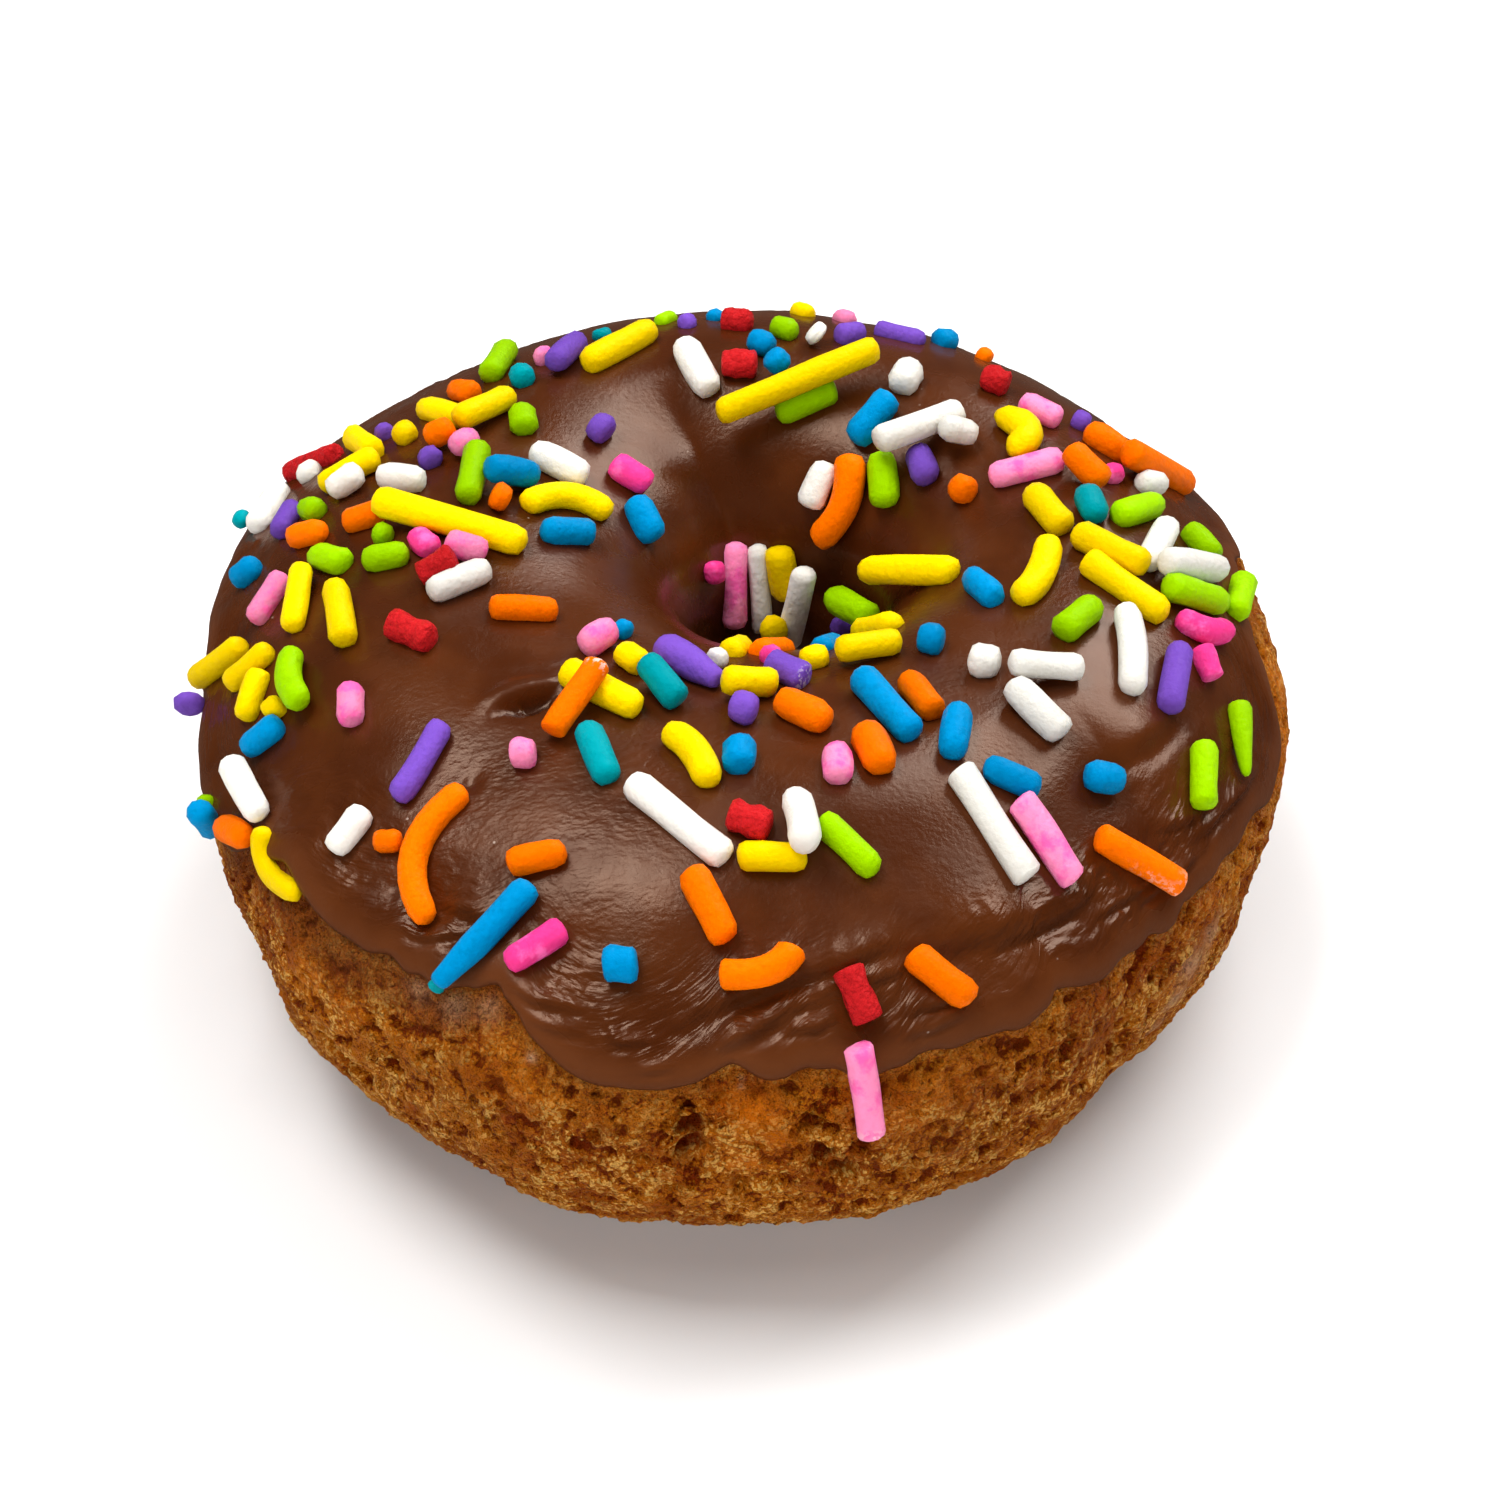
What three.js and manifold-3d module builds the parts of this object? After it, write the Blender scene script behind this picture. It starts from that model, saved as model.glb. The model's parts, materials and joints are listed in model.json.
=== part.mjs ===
// Sprinkle frosted doughnut: a ring of cake dough, a chocolate icing cap and rod sprinkles.
// Millimetres, +Z up, front towards -Y. The origin is the middle of the footprint, on the ground.
//
// One ring surface shapes the whole doughnut. A place on it is an azimuth round the ring and a
// turn round the ring's own section: 0 at the outside, a quarter turn at the crest, a half turn
// at the throat of the hole. The dough is that surface, pressed in where icing covers it, and the
// icing is a skin between the pressed-in dough and the same surface.

import * as THREE from 'three';
import Module from 'manifold-3d';
import { mergeVertices } from 'three/addons/utils/BufferGeometryUtils.js';

const wasm = await Module();
wasm.setup();

// ---- Driving dimensions of the ring ----
const HEIGHT = 29.5;
const OUTER_RADIUS = 37;
const CREST_RADIUS = 21.2;
const WAIST_HEIGHT = 16.9; // of the widest point, and of the throat of the hole
const THROAT_RADIUS = 6.2;
const FLAT_DEPTH = 1.0; // how far the round underside is pressed flat
const RING_CENTRE = new THREE.Vector2(-0.3, 0.8);
const HOLE_SHIFT = new THREE.Vector2(3.05, 4.2); // the hole sits right and back of the middle
const OVAL = [
  { lobes: 2, cosine: -0.87, sine: -0.14 },
  { lobes: 3, cosine: 0.29, sine: 0.67 },
];
// Exponents of the section's four rounded quarters: 2 is an ellipse, more is squarer.
const ROUNDNESS = { shoulder: 1.83, funnel: 2.41, belly: 2.33, holeFoot: 2.2 };
const FUNNEL_CHANGE = 0.4; // the funnel is squarer in front of the hole than behind it

// ---- Driving dimensions of the icing ----
const ICING_THICKNESS = 1.6;
const CLEARANCE = 0.3; // between the icing's underside and the dough
const LIP = 0.7; // how proud the rounded edge stands
const LIP_WIDTH = 1.6;
const TAPER = 4.5; // over which the icing sinks to its full seat in the dough
const EDGE_HEIGHT = 20.9;
const HOLE_EDGE_TURN = THREE.MathUtils.degToRad(191); // where the icing ends below the throat
// Tongues that hang below the edge and notches that are drawn above it.
const EDGE_WAVES = [
  { azimuth: -163, rise: -2.7, width: 13 },
  { azimuth: -140, rise: 0.8, width: 8 },
  { azimuth: -113, rise: 2.3, width: 3.5 },
  { azimuth: -101, rise: -1.3, width: 6 },
  { azimuth: -76, rise: -0.8, width: 5 },
  { azimuth: -64, rise: -0.6, width: 3.5 },
  { azimuth: -14, rise: -3.4, width: 8 },
  { azimuth: 8, rise: 2.9, width: 13 },
  { azimuth: 50, rise: -0.9, width: 11 },
  { azimuth: 84, rise: 1.2, width: 13 },
  { azimuth: 112, rise: -1.1, width: 9 },
  { azimuth: 140, rise: 0.9, width: 9 },
];
// A valley that runs down the far wall of the hole, and soft flow folds round the skirt.
const CREASE = { azimuth: 112, width: 8, depth: 0.9, from: 95, to: 175 };
const FOLDS = { height: 0.22, pitch: 6.5, slant: 5, reach: 13 };

// ---- Driving dimensions of the dough's relief ----
const CRUMB = { height: 0.35, lumpsRound: 23, lumpsUp: 4 };
const CRACKS = [
  { azimuth: -129, width: 3.5, depth: 1.5, low: 0, high: 11 },
  { azimuth: -94, width: 3, depth: 0.8, low: 5, high: 17 },
  { azimuth: -47, width: 4, depth: 1.6, low: 0, high: 10 },
  { azimuth: 38, width: 4, depth: 1.1, low: 3, high: 14 },
  { azimuth: 128, width: 4, depth: 1.2, low: 0, high: 12 },
];

// ---- Driving dimensions of the sprinkles ----
const ROD_RADIUS = 1.05;
const ROD_SIDES = 6;
const ROD_BLUNT = 0.45; // height of the low cone that closes each end
const ROD_SINK = 0.4; // how deep a rod sits in the surface under its middle
const ROD_SPACING = 2.6; // least distance between the middle lines of two rods
const ROD_COUNT = 145;
const ROD_EDGE_MARGIN = 1.3;
const ROD_LENGTHS = [
  { share: 0.2, least: 2.4, most: 3.3 },
  { share: 0.6, least: 3.8, most: 5.6 },
  { share: 0.2, least: 6, most: 8.4 },
];
const FRONT_SKIRT_SHARE = 0.4; // the front skirt carries fewer rods than the rest
const FUNNEL_TURN = THREE.MathUtils.degToRad(128); // beyond it rods point down the hole
const DEEPEST_ROD_TURN = THREE.MathUtils.degToRad(172);
const SIDE_ROD = { azimuth: -79, top: 18.6, foot: 13, sink: 0.3 }; // stuck on the bare dough
const SEED = 20;

// ---- Fineness of the meshes ----
const AROUND = 72;
const ICING_ROWS = 14;
const BARE_ROWS = 10;
const NORMAL_STEP = 0.01;

const { degToRad, smoothstep } = THREE.MathUtils;

/** The smallest angle between two azimuths, in degrees. */
function azimuthGap(azimuth, degrees) {
  const gap = THREE.MathUtils.radToDeg(azimuth) - degrees;
  return THREE.MathUtils.euclideanModulo(gap + 180, 360) - 180;
}

/** A bell curve, 1 at the middle. */
function bell(offset, width) {
  return Math.exp(-((offset / width) ** 2));
}

/** The widest radius at an azimuth, a circle with a little oval and a little triangle in it. */
function outerRadius(azimuth) {
  return OVAL.reduce(
    (radius, { lobes, cosine, sine }) =>
      radius + cosine * Math.cos(lobes * azimuth) + sine * Math.sin(lobes * azimuth),
    OUTER_RADIUS,
  );
}

/** The exponent of the section's quarter that a turn lies in. */
function roundnessAt(azimuth, outside, above) {
  if (outside) return above ? ROUNDNESS.shoulder : ROUNDNESS.belly;
  return above ? ROUNDNESS.funnel - FUNNEL_CHANGE * Math.sin(azimuth) : ROUNDNESS.holeFoot;
}

/** A point of the smooth ring surface. */
function ringPoint(azimuth, turn) {
  const outside = Math.cos(turn) > 0;
  const above = Math.sin(turn) >= 0;
  const power = 2 / roundnessAt(azimuth, outside, above);
  const reach = Math.abs(Math.cos(turn)) ** power;
  const rise = Math.sign(Math.sin(turn)) * Math.abs(Math.sin(turn)) ** power;
  const span = above ? HEIGHT - WAIST_HEIGHT : WAIST_HEIGHT + FLAT_DEPTH;

  const direction = new THREE.Vector2(Math.cos(azimuth), Math.sin(azimuth));
  const crest = direction.clone().multiplyScalar(CREST_RADIUS).addScaledVector(HOLE_SHIFT, 0.5);
  const side = outside
    ? direction.multiplyScalar(outerRadius(azimuth))
    : direction.multiplyScalar(THROAT_RADIUS).add(HOLE_SHIFT);
  const plan = crest.lerp(side, reach).add(RING_CENTRE);
  return new THREE.Vector3(plan.x, plan.y, Math.max(WAIST_HEIGHT + span * rise, 0));
}

/** The two directions in the surface at a place, round the ring and along its section. */
function tangentsAt(azimuth, turn) {
  const around = ringPoint(azimuth + NORMAL_STEP, turn)
    .sub(ringPoint(azimuth - NORMAL_STEP, turn)).normalize();
  const along = ringPoint(azimuth, turn + NORMAL_STEP)
    .sub(ringPoint(azimuth, turn - NORMAL_STEP)).normalize();
  return { around, along, normal: around.clone().cross(along).normalize() };
}

/** A point at a height above the ring surface, or below it where the height is negative. */
function liftedPoint(azimuth, turn, height) {
  return ringPoint(azimuth, turn).addScaledVector(tangentsAt(azimuth, turn).normal, height);
}

/** The turn at which the outside of the section has a height. */
function turnAtHeight(height) {
  const above = height >= WAIST_HEIGHT;
  const span = above ? HEIGHT - WAIST_HEIGHT : WAIST_HEIGHT + FLAT_DEPTH;
  const rise = (height - WAIST_HEIGHT) / span;
  const power = (above ? ROUNDNESS.shoulder : ROUNDNESS.belly) / 2;
  return Math.sign(rise) * Math.asin(Math.abs(rise) ** power);
}

/** Where the icing starts on the shoulder and ends in the hole, as turns. */
function icingSpan(azimuth) {
  const height = EDGE_WAVES.reduce(
    (sum, wave) => sum + wave.rise * bell(azimuthGap(azimuth, wave.azimuth), wave.width),
    EDGE_HEIGHT,
  );
  return {
    start: turnAtHeight(height),
    end: HOLE_EDGE_TURN + degToRad(2) * Math.sin(3 * azimuth),
  };
}

/** The length of section between two turns, taking the section as round. */
function sectionLength(turns) {
  return (turns * (OUTER_RADIUS - THROAT_RADIUS)) / 2;
}

/** How far under the icing a turn is, measured from the nearer of its two edges. */
function depthUnderIcing(turn, { start, end }) {
  return sectionLength(Math.min(turn - start, end - turn));
}

/** The turns of the icing's rows, closer together at both edges. */
function icingTurns({ start, end }) {
  return Array.from({ length: ICING_ROWS + 1 }, (_, row) => {
    const even = row / ICING_ROWS;
    const eased = even - (0.5 * Math.sin(2 * Math.PI * even)) / (2 * Math.PI);
    return start + (end - start) * eased;
  });
}

/** The relief of the iced surface: the valley in the funnel and the folds of the skirt. */
function icedRelief(azimuth, turn, depth) {
  const down = THREE.MathUtils.radToDeg(turn);
  const valley = CREASE.depth * bell(azimuthGap(azimuth, CREASE.azimuth), CREASE.width)
    * smoothstep(down, CREASE.from, CREASE.from + 25)
    * (1 - smoothstep(down, CREASE.to - 20, CREASE.to));
  const onSkirt = turn < Math.PI / 2 ? smoothstep(depth, 1, 4) : 0;
  const fading = 1 - smoothstep(depth, FOLDS.reach / 2, FOLDS.reach);
  const phase = (2 * Math.PI * depth) / FOLDS.pitch + FOLDS.slant * azimuth;
  return FOLDS.height * Math.sin(phase) * onSkirt * fading - valley;
}

/** The relief of the bare dough: lumps and cracks, fading out at the icing and on the ground. */
function bareRelief(azimuth, turn, depth) {
  const height = ringPoint(azimuth, turn).z;
  const lumps = Math.sin(CRUMB.lumpsRound * azimuth + 3 * Math.sin(CRUMB.lumpsUp * turn))
    * Math.cos(CRUMB.lumpsUp * 2 * turn + 2 * Math.sin(7 * azimuth));
  const cracks = CRACKS.reduce((sum, crack) => {
    const middle = (crack.low + crack.high) / 2;
    const half = (crack.high - crack.low) / 2;
    return sum + crack.depth * bell(azimuthGap(azimuth, crack.azimuth), crack.width)
      * bell(height - middle, half);
  }, 0);
  const onSide = Math.cos(turn) > 0 ? 1 : 0;
  const fading = smoothstep(height, 0, 2) * smoothstep(depth, 0.5, 3);
  return (CRUMB.height * (lumps - 1) - cracks * onSide) * fading;
}

/** The dough's section: under the icing first, then bare round the belly and the foot. */
function doughSection(azimuth) {
  const span = icingSpan(azimuth);
  const covered = icingTurns(span).filter((_, row) => row % 2 === 0).map((turn) => {
    const depth = depthUnderIcing(turn, span);
    const seat = (ICING_THICKNESS + CLEARANCE) * smoothstep(depth, 0, TAPER);
    return liftedPoint(azimuth, turn, icedRelief(azimuth, turn, depth) - seat);
  });
  const bare = Array.from({ length: BARE_ROWS }, (_, row) => {
    const share = (row + 1) / (BARE_ROWS + 1);
    const turn = span.end + (span.start + 2 * Math.PI - span.end) * share;
    const depth = sectionLength(Math.min(turn - span.end, span.start + 2 * Math.PI - turn));
    const point = liftedPoint(azimuth, turn, bareRelief(azimuth, turn, depth));
    point.z = Math.max(point.z, 0);
    return point;
  });
  return [...covered, ...bare];
}

/** The height of the icing's rounded lip over the ring surface, by the distance from its edge. */
function lipHeight(depth) {
  const acrossLip = THREE.MathUtils.clamp(depth / LIP_WIDTH, 0, 1);
  const roundOver = Math.sqrt(1 - (1 - acrossLip) ** 2);
  const fading = 1 - smoothstep(depth, LIP_WIDTH, TAPER);
  return CLEARANCE + (LIP - CLEARANCE) * roundOver * fading - CLEARANCE * (1 - fading);
}

/** The icing's section: its top from lip to hole, then every second row back along its seat. */
function icingSection(azimuth) {
  const span = icingSpan(azimuth);
  const top = [];
  const seat = [];
  icingTurns(span).forEach((turn, row) => {
    const depth = depthUnderIcing(turn, span);
    const relief = icedRelief(azimuth, turn, depth);
    top.push(liftedPoint(azimuth, turn, relief + lipHeight(depth)));
    const within = row > 0 && row < ICING_ROWS;
    if (within && row % 2 === 0) {
      const sunk = CLEARANCE - (ICING_THICKNESS + CLEARANCE) * smoothstep(depth, 0, TAPER);
      seat.unshift(liftedPoint(azimuth, turn, relief + sunk));
    }
  });
  return [...top, ...seat];
}

/** A closed ring-shaped surface, from a closed section drawn at each azimuth. */
function ringGeometry(sectionAt) {
  const sections = Array.from({ length: AROUND }, (_, step) => (
    sectionAt((2 * Math.PI * step) / AROUND)
  ));
  const points = sections.flat();
  const rows = sections[0].length;
  const at = (step, row) => (step % AROUND) * rows + (row % rows);
  const triangles = [];
  for (let step = 0; step < AROUND; step += 1) {
    for (let row = 0; row < rows; row += 1) {
      const [a, b] = [at(step, row), at(step + 1, row)];
      const [c, d] = [at(step + 1, row + 1), at(step, row + 1)];
      // Each cell is split along its shorter diagonal, so that facing sheets are split alike.
      const alongAC = points[a].distanceTo(points[c]) < points[b].distanceTo(points[d]);
      triangles.push(...(alongAC ? [a, b, c, a, c, d] : [a, b, d, b, c, d]));
    }
  }
  const geometry = new THREE.BufferGeometry().setFromPoints(points);
  geometry.setIndex(triangles);
  return geometry;
}

/** A closed geometry as a manifold solid, its shared vertices merged. */
function solidOf(source) {
  const bare = source.clone();
  bare.deleteAttribute('normal');
  bare.deleteAttribute('uv');
  const geometry = mergeVertices(bare);
  const index = geometry.index.array;
  const triangles = [];
  for (let corner = 0; corner < index.length; corner += 3) {
    const [a, b, c] = index.slice(corner, corner + 3);
    if (a !== b && b !== c && c !== a) triangles.push(a, b, c);
  }
  return new wasm.Manifold(new wasm.Mesh({
    numProp: 3,
    vertProperties: geometry.attributes.position.array,
    triVerts: new Uint32Array(triangles),
  }));
}

/** A manifold solid as a three.js geometry. */
function geometryOf(solid) {
  const { vertProperties, triVerts } = solid.getMesh();
  const geometry = new THREE.BufferGeometry();
  geometry.setAttribute('position', new THREE.BufferAttribute(vertProperties, 3));
  geometry.setIndex(new THREE.BufferAttribute(triVerts, 1));
  geometry.computeVertexNormals();
  return geometry;
}

/** Random numbers from 0 to 1 that are the same on every run. */
function seededDraw(seed) {
  let state = seed;
  return () => {
    state = (state + 0x6d2b79f5) | 0;
    let mixed = Math.imul(state ^ (state >>> 15), 1 | state);
    mixed = (mixed + Math.imul(mixed ^ (mixed >>> 7), 61 | mixed)) ^ mixed;
    return ((mixed ^ (mixed >>> 14)) >>> 0) / 4294967296;
  };
}

/** A rod's length, drawn from the three kinds: stubs, common rods and long ones. */
function drawnLength(draw) {
  let pick = draw();
  const kind = ROD_LENGTHS.find(({ share }) => {
    pick -= share;
    return pick < 0;
  }) ?? ROD_LENGTHS[1];
  return kind.least + (kind.most - kind.least) * draw();
}

/** A rod at a place: its middle, its direction and the way up, heading off the section line. */
function rodAt(azimuth, turn, height, heading, length) {
  const { around, along, normal } = tangentsAt(azimuth, turn);
  const direction = along.multiplyScalar(Math.cos(heading))
    .addScaledVector(around, Math.sin(heading)).normalize();
  const middle = liftedPoint(azimuth, turn, height + ROD_RADIUS - ROD_SINK);
  return { middle, direction, normal, length };
}

/** A few points along a rod's middle line. */
function pointsAlong({ middle, direction, length }) {
  const half = length / 2 - ROD_RADIUS;
  return [-1, -0.5, 0, 0.5, 1].map((share) => (
    middle.clone().addScaledVector(direction, share * half)
  ));
}

/** Whether two rods keep their spacing. */
function keepApart(one, other) {
  const reach = (one.length + other.length) / 2 + ROD_SPACING;
  if (one.middle.distanceTo(other.middle) > reach) return true;
  return pointsAlong(one).every((point) => (
    pointsAlong(other).every((rival) => point.distanceTo(rival) > ROD_SPACING)
  ));
}

/** The share of draws kept at a place: by its ring length, and fewer on the front skirt. */
function keptShare(azimuth, turn) {
  const place = ringPoint(azimuth, turn);
  const byRadius = Math.hypot(place.x, place.y) / OUTER_RADIUS;
  const onFrontSkirt = Math.sin(azimuth) < -0.35 && turn < degToRad(62);
  return byRadius * (onFrontSkirt ? FRONT_SKIRT_SHARE : 1);
}

/** The scattered rods: seeded draws over the icing, each kept if it has room. */
function scatteredRods() {
  const draw = seededDraw(SEED);
  const rods = [];
  while (rods.length < ROD_COUNT) {
    const azimuth = 2 * Math.PI * draw();
    const span = icingSpan(azimuth);
    const turn = span.start + (DEEPEST_ROD_TURN - span.start) * draw();
    const freedom = turn > FUNNEL_TURN ? 0.2 : 0.5;
    const heading = 2 * Math.PI * freedom * (draw() - 0.5);
    const length = turn > FUNNEL_TURN ? Math.min(drawnLength(draw), 5) : drawnLength(draw);
    const depth = depthUnderIcing(turn, span);
    const roomToEdge = depth - (length / 2) * Math.cos(heading) - ROD_EDGE_MARGIN;
    const rod = rodAt(azimuth, turn, icedRelief(azimuth, turn, depth), heading, length);
    const kept = draw() < keptShare(azimuth, turn) && roomToEdge > 0;
    if (kept && rods.every((other) => keepApart(rod, other))) rods.push(rod);
  }
  return rods;
}

/** The rod that fell on the bare dough below the icing's edge. */
function sideRod() {
  const azimuth = degToRad(SIDE_ROD.azimuth);
  const turn = turnAtHeight((SIDE_ROD.top + SIDE_ROD.foot) / 2);
  const depth = sectionLength(icingSpan(azimuth).start - turn);
  const height = bareRelief(azimuth, turn, depth) - SIDE_ROD.sink;
  return rodAt(azimuth, turn, height, 0, SIDE_ROD.top - SIDE_ROD.foot);
}

/** A rod as a solid: a six-sided bar with a low cone at each end. */
function rodSolid({ middle, direction, normal, length }) {
  const half = length / 2;
  const profile = [
    new THREE.Vector2(0, -half),
    new THREE.Vector2(ROD_RADIUS, ROD_BLUNT - half),
    new THREE.Vector2(ROD_RADIUS, half - ROD_BLUNT),
    new THREE.Vector2(0, half),
  ];
  const side = direction.clone().cross(normal).normalize();
  const placing = new THREE.Matrix4()
    .makeBasis(side.clone().negate(), direction, normal).setPosition(middle);
  if (placing.determinant() < 0) placing.makeBasis(side, direction, normal).setPosition(middle);
  const rod = new THREE.LatheGeometry(profile, ROD_SIDES);
  return solidOf(rod.applyMatrix4(placing));
}

/** A ring with rods fused to it. */
function withRods(ring, rods) {
  return geometryOf(rods.reduce((solid, rod) => solid.add(rodSolid(rod)), solidOf(ring)));
}

/** The cake dough: golden brown crumb, cracked at the foot, with one rod on its side. */
function dough() {
  const material = new THREE.MeshStandardMaterial({
    name: 'crumb', color: 0xa8672a, roughness: 0.85, metalness: 0,
  });
  const mesh = new THREE.Mesh(withRods(ringGeometry(doughSection), [sideRod()]), material);
  mesh.name = 'dough';
  return mesh;
}

/** The chocolate icing: a lobed cap that runs into the hole, with the rods fused on. */
function icing() {
  const material = new THREE.MeshStandardMaterial({
    name: 'chocolate', color: 0x50301e, roughness: 0.35, metalness: 0,
  });
  const mesh = new THREE.Mesh(withRods(ringGeometry(icingSection), scatteredRods()), material);
  mesh.name = 'icing';
  return mesh;
}

const doughnut = new THREE.Group();
doughnut.add(dough(), icing());

export default doughnut;
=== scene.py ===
"""Looks of a sprinkle frosted doughnut: cake dough, chocolate icing and sugar rods.

Shapes are worked in millimetres, and each piece is scaled to metres when it is finished.
A place on the ring is an azimuth round it and a turn round its own section: 0 at the
outside, a quarter turn at the crest and a half turn at the throat of the hole.
"""

import json
import logging
import math
import random
from contextlib import contextmanager
from dataclasses import dataclass, field
from enum import Enum
from itertools import product
from typing import Iterator, NamedTuple, Sequence

import bpy
import numpy as np
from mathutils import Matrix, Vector, noise
from mathutils.bvhtree import BVHTree

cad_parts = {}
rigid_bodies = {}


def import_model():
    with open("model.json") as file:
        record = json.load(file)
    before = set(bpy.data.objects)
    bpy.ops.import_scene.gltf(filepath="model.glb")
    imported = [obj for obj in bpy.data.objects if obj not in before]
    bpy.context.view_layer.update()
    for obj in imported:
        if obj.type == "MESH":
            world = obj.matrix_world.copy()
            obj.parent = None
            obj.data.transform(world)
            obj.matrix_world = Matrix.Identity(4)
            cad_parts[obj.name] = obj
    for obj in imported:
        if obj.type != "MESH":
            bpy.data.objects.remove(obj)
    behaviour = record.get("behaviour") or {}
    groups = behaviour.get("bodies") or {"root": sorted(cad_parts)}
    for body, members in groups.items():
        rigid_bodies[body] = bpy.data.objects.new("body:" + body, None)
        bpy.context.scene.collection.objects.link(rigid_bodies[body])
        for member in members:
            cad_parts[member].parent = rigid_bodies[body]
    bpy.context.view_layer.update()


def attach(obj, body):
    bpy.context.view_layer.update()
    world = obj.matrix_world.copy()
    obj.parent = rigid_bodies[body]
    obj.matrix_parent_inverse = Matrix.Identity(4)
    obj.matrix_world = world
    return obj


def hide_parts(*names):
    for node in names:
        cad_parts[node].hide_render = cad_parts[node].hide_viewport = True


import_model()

MM = 0.001
FRAME_PX = 1500
SENSOR_MM = 36.0
LOG = logging.getLogger("doughnut")
Pair = tuple[float, float]
Triple = tuple[float, float, float]


class Pixel(NamedTuple):
    """A place in the square camera frame, in pixels from its top left corner."""

    x: float
    y: float


class Spot(NamedTuple):
    """A round patch about the place that a pixel looks at, its radius in mm, and how much it does."""

    x: float
    y: float
    radius: float
    amount: float


def line_of(*numbers: float) -> tuple[Pixel, ...]:
    """Return a line of pixels, given the x and y of each in turn."""
    return tuple(Pixel(*pair) for pair in zip(numbers[::2], numbers[1::2]))


class Sugar(Enum):
    """The colours that the sugar rods come in."""

    YELLOW = "yellow"
    ORANGE = "orange"
    RED = "red"
    PINK = "pink"
    HOT_PINK = "hot_pink"
    PURPLE = "purple"
    BLUE = "blue"
    TEAL = "teal"
    GREEN = "green"
    WHITE = "white"


class RodForm(Enum):
    """The ways in which a sugar rod is shaped."""

    ROUND = "round"
    CUT = "cut"
    CRUMBLY = "crumbly"
    POINTED = "pointed"
    WEDGE = "wedge"
    BONE = "bone"


YELLOW, ORANGE, RED, PINK, HOT_PINK, PURPLE, BLUE, TEAL, GREEN, WHITE = Sugar
ROUND, CUT, CRUMBLY, POINTED, WEDGE, BONE = RodForm


# ---- helpers


def unit(vectors: np.ndarray) -> np.ndarray:
    """Scale vectors, whose x, y and z are on the last axis, to length one."""
    return vectors / np.maximum(np.linalg.norm(vectors, axis=-1, keepdims=True), 1e-12)


def ramp(values: np.ndarray, low: float, high: float) -> np.ndarray:
    """Rise smoothly with the values, from 0 at low to 1 at high."""
    share = np.clip((np.asarray(values, float) - low) / (high - low), 0.0, 1.0)
    return share * share * (3.0 - 2.0 * share)


def bell(values: np.ndarray, width: float) -> np.ndarray:
    """Return a bell curve of the values, 1 at zero."""
    return np.exp(-((np.asarray(values, float) / width) ** 2))


def row_products(first: np.ndarray, second: np.ndarray) -> np.ndarray:
    """Return the dot product of each pair of rows."""
    return np.einsum("ij,ij->i", first, second)


def degrees_apart(azimuth: np.ndarray, degrees: float) -> np.ndarray:
    """Return how many degrees azimuths, in radians, lie past a given one, from -180 to 180."""
    return (np.degrees(azimuth) - degrees + 180.0) % 360.0 - 180.0


def wrap(angle: np.ndarray) -> np.ndarray:
    """Bring angles to within half a turn of zero."""
    return (angle + math.pi) % (2 * math.pi) - math.pi


def select_only(piece: bpy.types.Object) -> None:
    """Deselect everything, then select one object and make it active."""
    for other in bpy.data.objects:
        other.select_set(False)
    piece.select_set(True)
    bpy.context.view_layer.objects.active = piece


@contextmanager
def edit_mode(action: str = "SELECT") -> Iterator[None]:
    """Work on the active mesh in edit mode, begun with all of it selected or deselected."""
    bpy.ops.object.mode_set(mode="EDIT")
    bpy.ops.mesh.select_all(action=action)
    yield
    bpy.ops.object.mode_set(mode="OBJECT")


def read_points(piece: bpy.types.Object) -> np.ndarray:
    """Return the vertex places of a piece as an n by 3 array."""
    points = np.empty(len(piece.data.vertices) * 3)
    piece.data.vertices.foreach_get("co", points)
    return points.reshape(-1, 3)


def write_points(piece: bpy.types.Object, points: np.ndarray) -> None:
    """Put the vertices of a piece at new places."""
    piece.data.vertices.foreach_set("co", np.asarray(points, float).ravel())
    piece.data.update()


def read_normals(piece: bpy.types.Object) -> np.ndarray:
    """Return the vertex normals of a piece as an n by 3 array."""
    normals = np.empty(len(piece.data.vertices) * 3, dtype=np.float32)
    piece.data.vertex_normals.foreach_get("vector", normals)
    return normals.reshape(-1, 3).astype(float)


def keep_attribute(piece: bpy.types.Object, name: str, values: np.ndarray) -> None:
    """Store a number or a place for each vertex, for the finish to read.

    Args:
        piece: The object.
        name: The attribute's name.
        values: One number, or one row of three, for each vertex.
    """
    kind, key = ("FLOAT_VECTOR", "vector") if np.ndim(values) == 2 else ("FLOAT", "value")
    layer = piece.data.attributes.get(name) or piece.data.attributes.new(name, kind, "POINT")
    layer.data.foreach_set(key, np.asarray(values, dtype=np.float32).ravel())


def finish_piece(
    piece: bpy.types.Object, material: bpy.types.Material, nodes: Sequence[str] = ()
) -> None:
    """Scale a piece to metres, smooth it, dress it and tie it to the frame.

    Args:
        piece: The object, modelled in millimetres about the origin.
        material: The finish.
        nodes: The construction's nodes that the piece stands for.
    """
    select_only(piece)
    with edit_mode():
        bpy.ops.transform.resize(value=(MM, MM, MM), center_override=(0.0, 0.0, 0.0))
    bpy.ops.object.shade_smooth()
    piece.data.materials.clear()
    piece.data.materials.append(material)
    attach(piece, "root")
    if nodes:
        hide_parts(*nodes)
    LOG.info("%s: %d faces", piece.name, len(piece.data.polygons))


# ---- the ring and the camera


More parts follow.
